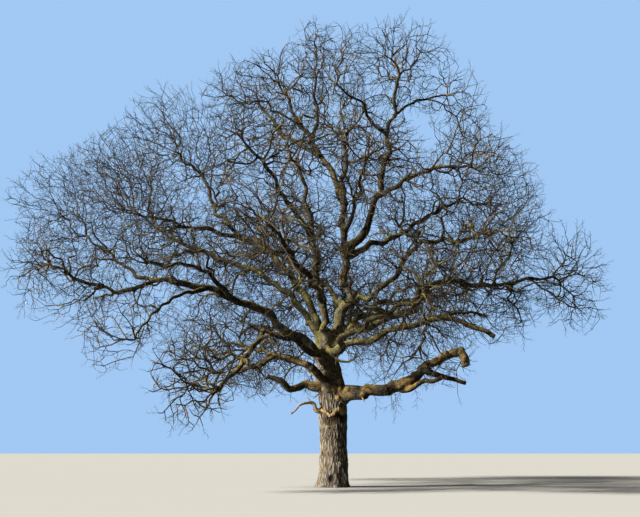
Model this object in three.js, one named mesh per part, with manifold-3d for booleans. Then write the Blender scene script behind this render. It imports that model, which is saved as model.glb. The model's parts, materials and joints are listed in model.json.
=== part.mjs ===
// A bare oak in winter, grown in the open: a stout trunk that forks low, crooked boughs on every side,
// three of them sawn off short, and a wide crown of bare twigs.
// Millimetres, +Z up. The flat cut under the trunk lies at z = 0, with the origin in its middle.
// Seen from the front, +X is the right-hand side of the crown and +Y leads away from the viewer.

import * as THREE from "three";
import { mergeVertices } from "three/addons/utils/BufferGeometryUtils.js";
import Module from "manifold-3d";

const wasm = await Module();
wasm.setup();

// Clearances between neighbouring pieces
const SEAT_GAP = 0.3; // from the end of a bough to the stem of its twigs
const SEAT_CLEARANCE = 0.45; // by which a seat is cut wider than the limb that stands in it

// Limbs: how crooked they are, and how finely they are faceted
const CROOKS = [
  { size: 75, wave: 1900 },
  { size: 30, wave: 850 },
];
const CROOK_START = 900; // from the foot to where the crook has its full size
const RING_SPACING = 680;
const STOUT_LIMB = 140; // a limb with a thicker foot has more sides
const STOUT_SIDES = 7;
const SLIM_SIDES = 6;

// Trunk, from the flat cut at the ground to the domed crotch that the boughs stand round
const TRUNK = {
  course: [
    [1800, 0, 90],
    [1600, 0, 90],
    [800, 180, 84],
    [800, 180, 82],
    [700, 180, 83],
  ],
  radii: [
    [0, 590],
    [180, 565],
    [450, 547],
    [1000, 538],
    [1900, 528],
    [2900, 532],
    [3500, 545],
    [4100, 515],
    [4700, 455],
    [5200, 395],
    [5520, 290],
    [5700, 130],
  ],
  sides: 20,
};
const ROOTS = {
  bearings: [12, 68, 121, 172, 228, 283, 327],
  reach: 105, // how far a root stands out of the trunk at the ground
  width: 17, // half of its width, in degrees
  rise: 420, // the height over which it dies away
};

// Twigs, in each mass
const BUD_SPACING = 1320; // between the places that the twigs of a mass grow to
// The steps of an even sequence in three directions
const BUD_SPREAD = [0.8191725134, 0.6710436067, 0.5497004779];
const OUTER_BUDS = 0.42; // the buds' distances go with this power of an even share: less puts more outside
const SPACE_BACK = 0.12; // the space starts this share of its run behind the stem's foot
const STEM_RUN = 450; // from the stem's foot to the first place where it may fork
const TURN_COST = 0.9; // how far a twig goes round rather than turn back
const PATH_COST = 0.2; // how far a twig goes round rather than lengthen the way from the foot
const FORK_BACK = 0.15; // a twig's root sits this share of a shoot behind the place where it forks
const LIMB_CLEARANCE = 95; // from a twig's centreline to a limb's bark
const BORDER = 0.055; // how clear a twig stays of a neighbouring mass, as a share of their girths
const STEM_SIDES = 5;
const TWIG_SIDES = 3;
const TWIG_TAPER = 0.45; // a twig's radius goes with its number of tips to this power
const THINNEST_TWIG = 15;
const SMALLEST_FACET = 2; // smaller ones, left where twigs are fused, are smoothed away

// Limbs, in the order in which they are seated. Each starts on the centreline of the limb that it grows
// from, at that distance from its foot, and tapers from its thick radius to its thin one along a course of
// steps, each a run, a bearing (0 to +X, 90 to +Y) and a climb in degrees. A limb with a crown ends where
// it enters its mass of twigs, which reaches as far as the run and is as wide as its girth on either side.
const LIMBS = [
  {
    name: "centre_leader", from: "trunk", at: 5400, thick: 250, thin: 85,
    course: [
      [1100, 15, 69], [1100, 16, 72], [1400, 45, 84], [1400, 63, 85],
      [1200, 143, 82], [1600, 330, 86], [1400, 273, 84],
    ],
    crown: { run: 3400, bearing: 79, climb: 59, girth: 2400 },
  },
  {
    name: "left_leader", from: "trunk", at: 5400, thick: 210, thin: 80,
    course: [
      [1200, 259, 69], [1100, 237, 78], [1200, 218, 76],
      [1200, 247, 79], [1500, 211, 75], [1100, 211, 80],
    ],
    crown: { run: 2300, bearing: 242, climb: 58, girth: 2100 },
  },
  {
    name: "left_riser", from: "left_leader", at: 4700, thick: 120, thin: 60,
    course: [[800, 236, 30], [1300, 232, 36], [1200, 231, 43], [1100, 215, 48]],
    crown: { run: 2200, bearing: 206, climb: 37, girth: 2300 },
  },
  {
    name: "high_left", from: "centre_leader", at: 6400, thick: 150, thin: 70,
    course: [[1500, 136, 68], [1400, 150, 55], [1800, 148, 57], [1300, 145, 60]],
    crown: { run: 2600, bearing: 145, climb: 66, girth: 2100 },
  },
  {
    name: "spire", from: "high_left", at: 3500, thick: 90, thin: 55,
    course: [[800, 299, 65], [800, 293, 77], [900, 222, 78]],
    crown: { run: 3000, bearing: 234, climb: 83, girth: 1200 },
  },
  {
    name: "high_left_outer", from: "high_left", at: 2800, thick: 110, thin: 60,
    course: [[1000, 151, 26], [1500, 139, 39], [2200, 134, 48]],
    crown: { run: 2700, bearing: 157, climb: 34, girth: 2200 },
  },
  {
    name: "right_leader", from: "centre_leader", at: 4500, thick: 170, thin: 70,
    course: [
      [800, 313, 32], [1200, 309, 52], [1500, 324, 70],
      [1400, 1, 79], [1400, 24, 80], [1100, 28, 79],
    ],
    crown: { run: 3000, bearing: 48, climb: 84, girth: 2200 },
  },
  {
    name: "loop_left", from: "right_leader", at: 5300, thick: 75, thin: 50,
    course: [[900, 218, 18], [1000, 224, 47], [800, 208, 28]],
    crown: { run: 2800, bearing: 228, climb: 85, girth: 1500 },
  },
  {
    name: "high_right", from: "right_leader", at: 6200, thick: 70, thin: 45,
    course: [[900, 34, 37], [1000, 38, 33], [900, 28, 13]],
    crown: { run: 1400, bearing: 38, climb: 28, girth: 1500 },
  },
  {
    name: "right_upper", from: "right_leader", at: 2700, thick: 100, thin: 55,
    course: [[1200, 314, 11], [1200, 319, 17], [900, 317, -1], [800, 322, -4]],
    crown: { run: 2100, bearing: 331, climb: 34, girth: 2300 },
  },
  {
    name: "right_shoulder", from: "centre_leader", at: 4200, thick: 150, thin: 65,
    course: [[1400, 45, 21], [2300, 43, 24], [1800, 38, 33], [1800, 29, 28]],
    crown: { run: 4300, bearing: 8, climb: 14, girth: 2700 },
  },
  {
    name: "right_riser", from: "centre_leader", at: 2000, thick: 130, thin: 60,
    course: [
      [1300, 311, 11], [1700, 311, 16], [1300, 306, 43],
      [1000, 319, 35], [1100, 329, -10], [900, 333, 11],
    ],
    crown: { run: 2900, bearing: 354, climb: 16, girth: 2400 },
  },
  {
    name: "right_long", from: "trunk", at: 5500, thick: 170, thin: 60,
    course: [
      [1200, 337, 31], [1600, 340, 16], [1200, 346, 19], [900, 331, 77],
      [1100, 355, 14], [1900, 6, -3], [2300, 10, 9],
    ],
    crown: { run: 2500, bearing: 8, climb: 6, girth: 2200 },
  },
  {
    name: "right_rear", from: "trunk", at: 5400, thick: 150, thin: 70,
    course: [[2200, 52, 35], [2000, 58, 31], [2400, 54, 11], [2700, 44, 12]],
    crown: { run: 5200, bearing: 9, climb: -1, girth: 2400 },
  },
  {
    name: "right_low", from: "trunk", at: 5200, thick: 160, thin: 85,
    course: [
      [1400, 317, 17], [1400, 336, 12], [1600, 335, 19],
      [1400, 344, 5], [1000, 346, -30], [700, 352, -20],
    ],
    prongs: [{ at: 4700, thick: 70, thin: 50, course: [[900, 8, 12], [800, 2, 4], [700, 356, -14]] }],
  },
  {
    name: "right_lowest", from: "trunk", at: 3600, thick: 280, thin: 155,
    course: [
      [1290, 332, 4], [1250, 335, 16], [1540, 334, 18],
      [840, 330, 33], [710, 339, 12], [640, 319, -44],
    ],
    prongs: [
      {
        at: 2500, thick: 120, thin: 85,
        course: [[670, 320, -20], [570, 328, 3], [530, 338, 9], [630, 322, 25]],
      },
      { at: 4050, thick: 105, thin: 80, course: [[560, 17, -21], [540, 17, -14], [680, 13, -12]] },
    ],
  },
  {
    name: "front_right", from: "trunk", at: 5200, thick: 150, thin: 60,
    course: [[2100, 291, 16], [2100, 294, 11], [2100, 297, 8], [1600, 299, 8]],
    crown: { run: 1800, bearing: 295, climb: 14, girth: 2300 },
  },
  {
    name: "front_left", from: "left_leader", at: 2200, thick: 130, thin: 60,
    course: [[1900, 256, 11], [2000, 254, 15], [1900, 254, 14], [1300, 256, 14]],
    crown: { run: 1800, bearing: 257, climb: 28, girth: 2300 },
  },
  {
    name: "front_high", from: "centre_leader", at: 5400, thick: 100, thin: 55,
    course: [[1800, 278, 16], [1800, 277, 18], [1500, 277, 19]],
    crown: { run: 1800, bearing: 272, climb: 48, girth: 2300 },
  },
  {
    name: "back_low", from: "trunk", at: 5400, thick: 160, thin: 60,
    course: [[2200, 78, 20], [2400, 78, 20], [2200, 80, 22], [1900, 88, 24]],
    crown: { run: 2200, bearing: 88, climb: 41, girth: 2400 },
  },
  {
    name: "back_left", from: "centre_leader", at: 2100, thick: 130, thin: 60,
    course: [[2400, 106, 24], [2400, 115, 24], [2400, 120, 26], [2000, 125, 29]],
    crown: { run: 2800, bearing: 136, climb: 42, girth: 2500 },
  },
  {
    name: "left_high", from: "trunk", at: 5500, thick: 180, thin: 70,
    course: [
      [1400, 164, 75], [1600, 142, 54], [2200, 142, 47],
      [2200, 149, 31], [1600, 148, 42], [1900, 139, 61],
    ],
    crown: { run: 5200, bearing: 172, climb: 50, girth: 2700 },
  },
  {
    name: "left_high_fork", from: "left_high", at: 7200, thick: 100, thin: 60,
    course: [[900, 205, 4], [1400, 209, 3], [1400, 208, 10]],
    crown: { run: 4500, bearing: 201, climb: 58, girth: 2600 },
  },
  {
    name: "left_middle", from: "trunk", at: 5200, thick: 170, thin: 60,
    course: [
      [2100, 118, 42], [2500, 119, 42], [2400, 138, 31],
      [2700, 154, 22], [2400, 161, 23], [2000, 169, 38],
    ],
    crown: { run: 4800, bearing: 175, climb: 43, girth: 2500 },
  },
  {
    name: "left_long", from: "trunk", at: 5000, thick: 200, thin: 50,
    course: [
      [1600, 212, 34], [1900, 205, 29], [2100, 198, 21], [1900, 192, 14],
      [1800, 194, -18], [1300, 188, 14], [1300, 191, 26],
    ],
    crown: { run: 2000, bearing: 186, climb: 10, girth: 2000 },
  },
  {
    name: "left_long_riser", from: "left_long", at: 7800, thick: 85, thin: 50,
    course: [[1000, 165, 10], [1600, 152, 37], [1400, 150, 32]],
    crown: { run: 4200, bearing: 164, climb: 44, girth: 2400 },
  },
  {
    name: "left_mossy", from: "left_long", at: 4500, thick: 100, thin: 50,
    course: [[1100, 226, 34], [1000, 235, 27], [1100, 224, 3], [1300, 228, -6]],
    crown: { run: 2400, bearing: 215, climb: 30, girth: 2300 },
  },
  {
    name: "left_drop", from: "left_long", at: 6000, thick: 80, thin: 45,
    course: [[1500, 231, -17], [1300, 240, -29], [1400, 242, -39]],
    crown: { run: 2300, bearing: 200, climb: 3, girth: 1700 },
  },
  {
    name: "left_low", from: "trunk", at: 4800, thick: 140, thin: 85,
    course: [[2300, 236, 21], [1900, 229, 9], [1200, 239, -41], [1000, 240, -42], [800, 227, -35]],
    crown: { run: 2800, bearing: 207, climb: 3, girth: 1900 },
  },
  {
    name: "left_rear", from: "trunk", at: 3800, thick: 140, thin: 60,
    course: [[2500, 121, 30], [2400, 125, 13], [3500, 134, 14]],
    crown: { run: 3500, bearing: 153, climb: 9, girth: 2200 },
  },
  {
    name: "left_lowest", from: "trunk", at: 3720, thick: 190, thin: 85,
    course: [
      [690, 255, 22], [1090, 205, 39], [840, 200, 18],
      [690, 193, 6], [510, 199, -29], [1010, 189, -21],
    ],
  },
];

// What is left of two limbs on the trunk's left-hand side: a broken, dead one and the mossy stub of a bough
const SNAGS = [
  {
    at: 2900, thick: 120, thin: 25,
    course: [[700, 210, 14], [450, 190, 30], [450, 205, -18], [450, 215, -32]],
  },
  {
    at: 4000, thick: 190, thin: 95,
    course: [[1070, 196, 0], [730, 196, -12], [530, 197, 39], [460, 198, 25]],
  },
];

const BARK = new THREE.MeshStandardMaterial({ color: 0x6e675c, roughness: 0.92, metalness: 0 });
const LIMB_BARK = new THREE.MeshStandardMaterial({ color: 0x5d5340, roughness: 0.9, metalness: 0 });
const TWIG_BARK = new THREE.MeshStandardMaterial({ color: 0x5a4c40, roughness: 0.85, metalness: 0 });

// Seeded numbers from 0 to 1, by the minimal standard generator, so that every build grows the same tree
function seeded(seed) {
  let state = seed * 7919 + 17;
  return () => {
    state = (state * 16807) % 2147483647;
    return state / 2147483647;
  };
}

// The unit vector that has a bearing and a climb, in degrees
function heading(bearing, climb) {
  const turn = THREE.MathUtils.degToRad(bearing);
  const rise = THREE.MathUtils.degToRad(climb);
  const level = Math.cos(rise);
  return new THREE.Vector3(level * Math.cos(turn), level * Math.sin(turn), Math.sin(rise));
}

// A smooth line from a start through the ends of the steps of a course, with a crook along it
class Line {
  constructor(start, course, random = null) {
    const ways = course.map(([, bearing, climb]) => heading(bearing, climb));
    this.runs = course.map(([run]) => run);
    this.length = this.runs.reduce((sum, run) => sum + run, 0);
    this.knots = [start.clone()];
    ways.forEach((way, i) => this.knots.push(this.knots[i].clone().addScaledVector(way, this.runs[i])));
    const between = ways.slice(1).map((way, i) => way.clone().add(ways[i]).normalize());
    this.ways = [ways[0], ...between, ways.at(-1)];
    this.crooks = (random ? CROOKS : []).map(({ size, wave }) => ({
      across: heading(360 * random(), 120 * random() - 60).multiplyScalar(size),
      wave: wave * (0.8 + 0.4 * random()),
      phase: 2 * Math.PI * random(),
    }));
  }

  at(distance) {
    let i = 0;
    let left = distance;
    while (i < this.runs.length - 1 && left > this.runs[i]) left -= this.runs[i++];
    const run = this.runs[i];
    const u = left / run;
    const place = new THREE.Vector3();
    if (u < 0) place.copy(this.knots[i]).addScaledVector(this.ways[i], left);
    else if (u > 1) place.copy(this.knots[i + 1]).addScaledVector(this.ways[i + 1], left - run);
    else {
      place.addScaledVector(this.knots[i], (1 + 2 * u) * (1 - u) ** 2);
      place.addScaledVector(this.ways[i], run * u * (1 - u) ** 2);
      place.addScaledVector(this.knots[i + 1], u * u * (3 - 2 * u));
      place.addScaledVector(this.ways[i + 1], run * u * u * (u - 1));
    }
    const share = THREE.MathUtils.clamp(distance / CROOK_START, 0, 1);
    for (const { across, wave, phase } of this.crooks)
      place.addScaledVector(across, share * Math.sin((2 * Math.PI * distance) / wave + phase));
    return place;
  }

  way(distance) {
    const nudge = 20;
    return this.at(distance + nudge).sub(this.at(distance - nudge)).normalize();
  }
}

// A closed manifold-3d solid from a three.js geometry
function solid(form) {
  form.deleteAttribute("normal");
  form.deleteAttribute("uv");
  const merged = mergeVertices(form);
  return new wasm.Manifold(
    new wasm.Mesh({
      numProp: 3,
      vertProperties: merged.getAttribute("position").array,
      triVerts: new Uint32Array(merged.index.array),
    }),
  );
}

// A solid through rings, each a place, a way and a radius, which may be a function of the bearing. It is a
// unit cylinder whose rings are laid round those places, or a cone where the last ring is a point.
function sweep(rings, sides) {
  const last = rings.length - 1;
  const form = new THREE.CylinderGeometry(rings[last].radius === 0 ? 0 : 1, 1, 1, sides, last);
  const axis = Math.abs(rings[0].way.x) < 0.7 ? new THREE.Vector3(1, 0, 0) : new THREE.Vector3(0, 1, 0);
  const side = axis.addScaledVector(rings[0].way, -axis.dot(rings[0].way)).normalize();
  const frames = rings.map(({ way }) => {
    side.addScaledVector(way, -side.dot(way)).normalize();
    return [side.clone(), side.clone().cross(way)];
  });
  const position = form.getAttribute("position");
  const spoke = new THREE.Vector3();
  for (let i = 0; i < position.count; i++) {
    const k = Math.round((position.getY(i) + 0.5) * last);
    const [across, along] = frames[k];
    spoke.set(0, 0, 0).addScaledVector(across, position.getX(i)).addScaledVector(along, position.getZ(i));
    spoke.normalize();
    const { radius } = rings[k];
    const reach = typeof radius === "function" ? radius(Math.atan2(spoke.y, spoke.x)) : radius;
    spoke.multiplyScalar(reach).add(rings[k].at);
    position.setXYZ(i, spoke.x, spoke.y, spoke.z);
  }
  return solid(form);
}

// The largest of a solid's separate pieces: scraps that a cut leaves are dropped
function largest(made) {
  return made.decompose().reduce((best, piece) => (piece.volume() > best.volume() ? piece : best));
}

// How far the roots stand out of the trunk, at a height and a bearing in radians
function rootFlare(height, bearing) {
  const spread = ROOTS.bearings.reduce((sum, root) => {
    const off = THREE.MathUtils.radToDeg(bearing) - root;
    const turned = ((((off + 180) % 360) + 360) % 360) - 180;
    return sum + Math.exp(-((turned / ROOTS.width) ** 2));
  }, 0);
  return ROOTS.reach * spread * Math.exp(-((height / ROOTS.rise) ** 1.3));
}

// The trunk, or with a clearance the room that it needs
function trunkSolid(line, clearance = 0) {
  const top = TRUNK.radii.length - 1;
  const rings = TRUNK.radii.map(([distance, radius], i) => ({
    at: line.at(i === top ? distance + clearance : distance),
    way: line.way(distance),
    radius: (bearing) => radius + rootFlare(distance, bearing) + clearance,
  }));
  rings[0].way = new THREE.Vector3(0, 0, 1);
  return sweep(rings, TRUNK.sides);
}

// A limb along its line, or with a clearance the room that it needs
function limbSolid(line, { thick, thin }, clearance = 0) {
  const count = Math.max(2, Math.round(line.length / RING_SPACING));
  const rings = [];
  for (let i = 0; i <= count; i++) {
    const distance = (line.length * i) / count;
    rings.push({
      at: line.at(distance + (i === 0 ? -clearance : i === count ? clearance : 0)),
      way: line.way(distance),
      radius: THREE.MathUtils.lerp(thick, thin, i / count) + clearance,
    });
  }
  return sweep(rings, thick > STOUT_LIMB ? STOUT_SIDES : SLIM_SIDES);
}

// The lines of all limbs, of the trunk with its snags and of the prongs that stand on a sawn bough
function layOut() {
  const trunk = { name: "trunk", line: new Line(new THREE.Vector3(), TRUNK.course), prongs: [] };
  const laid = new Map([["trunk", trunk]]);
  LIMBS.forEach((limb, i) => {
    const random = seeded(i + 1);
    const line = new Line(laid.get(limb.from).line.at(limb.at), limb.course, random);
    const branch = (prong) => ({ ...prong, line: new Line(line.at(prong.at), prong.course, random) });
    const prongs = (limb.prongs ?? []).map(branch);
    laid.set(limb.name, { ...limb, line, prongs });
  });
  SNAGS.forEach((snag, i) => {
    const line = new Line(trunk.line.at(snag.at), snag.course, seeded(LIMBS.length + 1 + i));
    trunk.prongs.push({ ...snag, line });
  });
  return laid;
}

// The trunk or a limb, with its prongs fused on
function wholeLimb(limb, clearance = 0) {
  const isTrunk = limb.name === "trunk";
  const plain = isTrunk ? trunkSolid(limb.line, clearance) : limbSolid(limb.line, limb, clearance);
  return limb.prongs.reduce((sum, prong) => sum.add(limbSolid(prong.line, prong, clearance)), plain);
}

// The space of a mass of twigs: an ellipsoid from behind its stem's foot to its furthest tip
function spaceOf(limb) {
  const { run, bearing, climb, girth } = limb.crown;
  const foot = limb.line.at(limb.line.length);
  const axis = heading(bearing, climb);
  return {
    foot,
    way: limb.line.way(limb.line.length),
    far: foot.clone().addScaledVector(axis, run),
    axis,
    girth,
    centre: foot.clone().addScaledVector(axis, (run * (1 - SPACE_BACK)) / 2),
    half: (run * (1 + SPACE_BACK)) / 2,
    stem: limb.thin,
  };
}

// How far a place is from the middle line of a space, as a share of its girth
function shareOut(space, place) {
  const middle = new THREE.Line3(space.foot, space.far);
  const nearest = middle.closestPointToPoint(place, true, new THREE.Vector3());
  return nearest.distanceTo(place) / space.girth;
}

// Places along the limbs, each with its radius, that the twigs keep clear of
function limbPlaces(laid) {
  const places = [];
  const spacing = 150;
  for (const limb of laid.values())
    for (const part of [limb, ...limb.prongs])
      for (let distance = 0; distance <= part.line.length; distance += spacing) {
        const share = distance / part.line.length;
        const radius = part.thick ? THREE.MathUtils.lerp(part.thick, part.thin, share) : TRUNK.radii[0][1];
        places.push({ at: part.line.at(distance), radius });
      }
  return places;
}

// The buds of a space, spread evenly through it and closer near its outside
function sowBuds(space, random) {
  const side = new THREE.Vector3(0, 0, 1).cross(space.axis).normalize();
  const up = space.axis.clone().cross(side);
  const starts = BUD_SPREAD.map(() => random());
  const count = Math.round((4 * Math.PI * space.half * space.girth) / BUD_SPACING ** 2);
  const buds = [space.far.clone()];
  for (let i = 0; i < count; i++) {
    const [level, turn, out] = BUD_SPREAD.map((step, k) => (starts[k] + i * step) % 1);
    const share = out ** OUTER_BUDS;
    const rise = 2 * level - 1;
    const ring = Math.sqrt(1 - rise * rise);
    const bud = space.centre.clone().addScaledVector(space.axis, share * rise * space.half);
    bud.addScaledVector(side, share * ring * Math.cos(2 * Math.PI * turn) * space.girth);
    bud.addScaledVector(up, share * ring * Math.sin(2 * Math.PI * turn) * space.girth);
    buds.push(bud);
  }
  return buds;
}

// The twigs of a space as shoots, each a place and the shoot that it grows on from. The stem starts the
// seat's gap in front of its bough. Then the bud that is cheapest to reach gets its shoot, over and over,
// where a turn back and a long way from the foot cost extra. A shoot that would leave the space, enter
// another's or touch a limb is skipped.
function growShoots(space, others, places, random) {
  const owned = (place) => {
    const share = shareOut(space, place) + BORDER;
    return others.every((other) => share < shareOut(other, place));
  };
  const clear = (place) => places.every(({ at, radius }) => at.distanceTo(place) > radius + LIMB_CLEARANCE);
  const allowed = (place) => owned(place) && clear(place);
  const buds = sowBuds(space, random).filter(allowed).map((at) => ({ at, from: null, cost: Infinity }));
  const shoots = [];
  const grow = (at, from) => {
    const reach = from ? at.distanceTo(from.at) : 0;
    const way = from ? at.clone().sub(from.at).normalize() : space.way;
    const shoot = { at, from, way, path: from ? from.path + reach : 0 };
    shoots.push(shoot);
    for (const bud of from ? buds : []) {
      const gap = bud.at.distanceTo(at);
      const turn = 1 - bud.at.clone().sub(at).dot(way) / gap;
      const cost = gap * (1 + TURN_COST * turn) + PATH_COST * shoot.path;
      if (cost < bud.cost) Object.assign(bud, { from: shoot, cost });
    }
  };
  const foot = space.foot.clone().addScaledVector(space.way, SEAT_GAP);
  grow(foot, null);
  grow(foot.clone().addScaledVector(space.way, STEM_RUN), shoots[0]);
  while (buds.length > 0) {
    buds.sort((a, b) => b.cost - a.cost);
    const { at, from } = buds.pop();
    const between = [0.25, 0.5, 0.75].map((share) => from.at.clone().lerp(at, share));
    if (between.every(allowed)) grow(at, from);
  }
  return shoots;
}

// The shoots of a mass joined into tapering twigs: at each fork the shoot with the most tips carries on the
// twig, and each of the others starts a new one, with its root in the middle of the twig that bears it.
function twigSolid(shoots, stem) {
  const bearing = new Map(shoots.map((shoot) => [shoot, []]));
  for (const shoot of shoots) if (shoot.from) bearing.get(shoot.from).push(shoot);
  const tips = new Map();
  for (const shoot of [...shoots].reverse())
    tips.set(shoot, Math.max(1, bearing.get(shoot).reduce((sum, next) => sum + tips.get(next), 0)));
  const all = tips.get(shoots[0]);
  const radius = (shoot) => Math.max(THINNEST_TWIG, stem * (tips.get(shoot) / all) ** TWIG_TAPER);
  const solids = [];
  const startTwig = (chain, sides) => {
    for (let next = bearing.get(chain.at(-1)); next.length > 0; next = bearing.get(chain.at(-1))) {
      const [main, ...rest] = [...next].sort((a, b) => tips.get(b) - tips.get(a));
      const fork = chain.at(-1);
      for (const side of rest)
        startTwig([{ ...fork, at: fork.at.clone().lerp(fork.from.at, FORK_BACK) }, side], TWIG_SIDES);
      chain.push(main);
    }
    const rings = chain.map((shoot, i) => {
      const before = i === 0 ? chain[1].at.clone().sub(chain[0].at).normalize() : shoot.way;
      const after = i === chain.length - 1 ? before : chain[i + 1].way;
      return {
        at: shoot.at,
        way: i === 0 && shoot.from === null ? shoot.way : before.clone().add(after).normalize(),
        radius: i === chain.length - 1 ? 0 : radius(chain[i === 0 ? 1 : i]),
      };
    });
    solids.push(sweep(rings, sides));
  };
  startTwig([shoots[0]], STEM_SIDES);
  return largest(wasm.Manifold.union(solids)).simplify(SMALLEST_FACET);
}

// A named mesh from a solid, placed at its foot
function mesh(name, made, material, foot) {
  const { vertProperties, triVerts } = made.getMesh();
  const geometry = new THREE.BufferGeometry();
  geometry.setAttribute("position", new THREE.BufferAttribute(vertProperties, 3));
  geometry.setIndex(new THREE.BufferAttribute(triVerts, 1));
  geometry.translate(-foot.x, -foot.y, -foot.z);
  geometry.computeVertexNormals();
  const shown = new THREE.Mesh(geometry, material);
  shown.name = name;
  shown.position.copy(foot);
  return shown;
}

const tree = new THREE.Group();
const laid = layOut();
const seats = [];
for (const limb of laid.values()) {
  const foot = limb.line.at(0);
  const cut = seats.reduce((left, seat) => left.subtract(seat), wholeLimb(limb));
  tree.add(mesh(limb.name, largest(cut), limb.name === "trunk" ? BARK : LIMB_BARK, foot));
  seats.push(wholeLimb(limb, SEAT_CLEARANCE));
}

const crowned = [...laid.values()].filter((limb) => limb.crown);
const spaces = crowned.map(spaceOf);
const places = limbPlaces(laid);
crowned.forEach((limb, i) => {
  const space = spaces[i];
  const others = spaces.filter((other) => other !== space);
  const shoots = growShoots(space, others, places, seeded(101 + i));
  tree.add(mesh(`${limb.name}_twigs`, twigSolid(shoots, space.stem), TWIG_BARK, space.foot));
});

export default tree;
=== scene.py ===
"""A bare oak in winter, grown in the open: furrowed bark, mossy boughs, dead wood and a crown of fine twigs.

Metres, +Z up. Seen from the front, +X is the right-hand side of the crown and +Y leads away from the viewer.
The trunk and the boughs are remade as skins with the relief of their bark. Each mass of twigs grows again by
the rule of its solid, from the same seeds, and is then carried on to finer twigs within the same reach.
"""

import functools
import itertools
import json
import math
from collections import namedtuple

import bmesh
import bpy
import numpy as np
from bpy.props import FloatProperty, FloatVectorProperty, IntProperty, PointerProperty
from mathutils import Matrix, Vector

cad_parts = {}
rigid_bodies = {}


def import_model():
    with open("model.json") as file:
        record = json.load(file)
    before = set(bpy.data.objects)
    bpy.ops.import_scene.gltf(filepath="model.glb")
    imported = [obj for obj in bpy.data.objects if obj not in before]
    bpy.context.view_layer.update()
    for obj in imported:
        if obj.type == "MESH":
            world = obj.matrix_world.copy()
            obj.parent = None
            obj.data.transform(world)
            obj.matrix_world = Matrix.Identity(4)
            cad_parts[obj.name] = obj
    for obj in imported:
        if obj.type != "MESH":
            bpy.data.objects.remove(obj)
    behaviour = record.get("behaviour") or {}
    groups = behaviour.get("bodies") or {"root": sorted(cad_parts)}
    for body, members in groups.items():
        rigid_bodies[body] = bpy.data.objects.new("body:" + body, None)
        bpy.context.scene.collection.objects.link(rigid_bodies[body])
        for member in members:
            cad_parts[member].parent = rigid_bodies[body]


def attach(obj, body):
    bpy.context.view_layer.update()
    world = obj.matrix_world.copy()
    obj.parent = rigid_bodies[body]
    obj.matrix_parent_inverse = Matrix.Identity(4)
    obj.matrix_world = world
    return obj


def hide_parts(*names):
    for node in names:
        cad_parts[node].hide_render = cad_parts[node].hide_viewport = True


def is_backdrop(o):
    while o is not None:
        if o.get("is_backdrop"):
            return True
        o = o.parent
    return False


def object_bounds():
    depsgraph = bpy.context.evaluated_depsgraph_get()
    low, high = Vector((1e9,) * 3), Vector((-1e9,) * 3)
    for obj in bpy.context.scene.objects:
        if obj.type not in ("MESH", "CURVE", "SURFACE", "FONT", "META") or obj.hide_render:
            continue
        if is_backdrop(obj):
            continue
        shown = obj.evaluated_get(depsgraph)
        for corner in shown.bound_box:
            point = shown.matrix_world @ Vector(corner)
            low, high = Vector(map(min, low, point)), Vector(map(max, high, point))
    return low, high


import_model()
cad_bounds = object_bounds()

bl_info = {
    "name": "Bare oak tree",
    "version": (1, 0, 0),
    "blender": (4, 5, 0),
    "location": "3D View > Sidebar > Oak",
    "description": "Builds a bare winter oak with bark, moss, dead wood and fine twigs",
    "category": "Add Mesh",
}

# Limbs: how crooked they are, as sizes and waves, and how finely they are laid out
CROOKS = [(0.075, 1.9), (0.03, 0.85)]
CROOK_START = 0.9
RING_SPACING = 0.08
KINK = 0.5  # the size of the small sharp bends, as a share of the radius
KINK_RUN = 0.5  # over which they die out
ELBOWS = 0.85  # how far the skin is drawn from the smooth line to the straight steps of its course
NUDGE = 0.02  # how far to either side of a place the line's way is read

# Trunk
TRUNK_COURSE = [(1.8, 0, 90), (1.6, 0, 90), (0.8, 180, 84), (0.8, 180, 82), (0.7, 180, 83)]
TRUNK_RADII = [
    (0, 0.59), (0.18, 0.565), (0.45, 0.547), (1, 0.538), (1.9, 0.528), (2.9, 0.532),
    (3.5, 0.545), (4.1, 0.515), (4.7, 0.455), (5.2, 0.395), (5.52, 0.29), (5.7, 0.13),
]
ROOT_BEARINGS = [12, 68, 121, 172, 228, 283, 327]
ROOT_REACH = 0.105
ROOT_WIDTH = 17
ROOT_RISE = 0.42

# Twigs, by the rule of the solids
BUD_SPACING = 1.32
# Steps that spread places evenly in space: the powers of the root of x**3 + x**4 = 1
BUD_SPREAD = np.array([0.8191725134, 0.6710436067, 0.5497004779])
OUTER_BUDS = 0.42
SPACE_BACK = 0.12
STEM_RUN = 0.45
SEAT_GAP = 0.0003
TURN_COST = 0.9
PATH_COST = 0.2
FORK_BACK = 0.15
LIMB_CLEARANCE = 0.095
LIMB_PLACES = 0.15
BORDER = 0.055

# Twigs between the masses: side boughs in a sleeve of room round each limb, in metres
SLEEVE_GIRTH = 2.5
SLEEVE_START = 0.9
SLEEVE_GROWN = 2.6
SIDE_BOUGH_SPACING = 0.62
LOWEST_TWIG = 3.5

# A limb grows on another, at a distance from that limb's foot, and is thick at its foot and thin at its tip.
# The steps of its course are a run, a bearing and a climb in degrees, and its crown is the run, the bearing,
# the climb and the girth of the space that its twigs fill. A prong is a stub that is left of a fork.
Row = namedtuple("Row", "name on at thick thin course crown prongs", defaults=(None, ()))
Prong = namedtuple("Prong", "at thick thin course")

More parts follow.
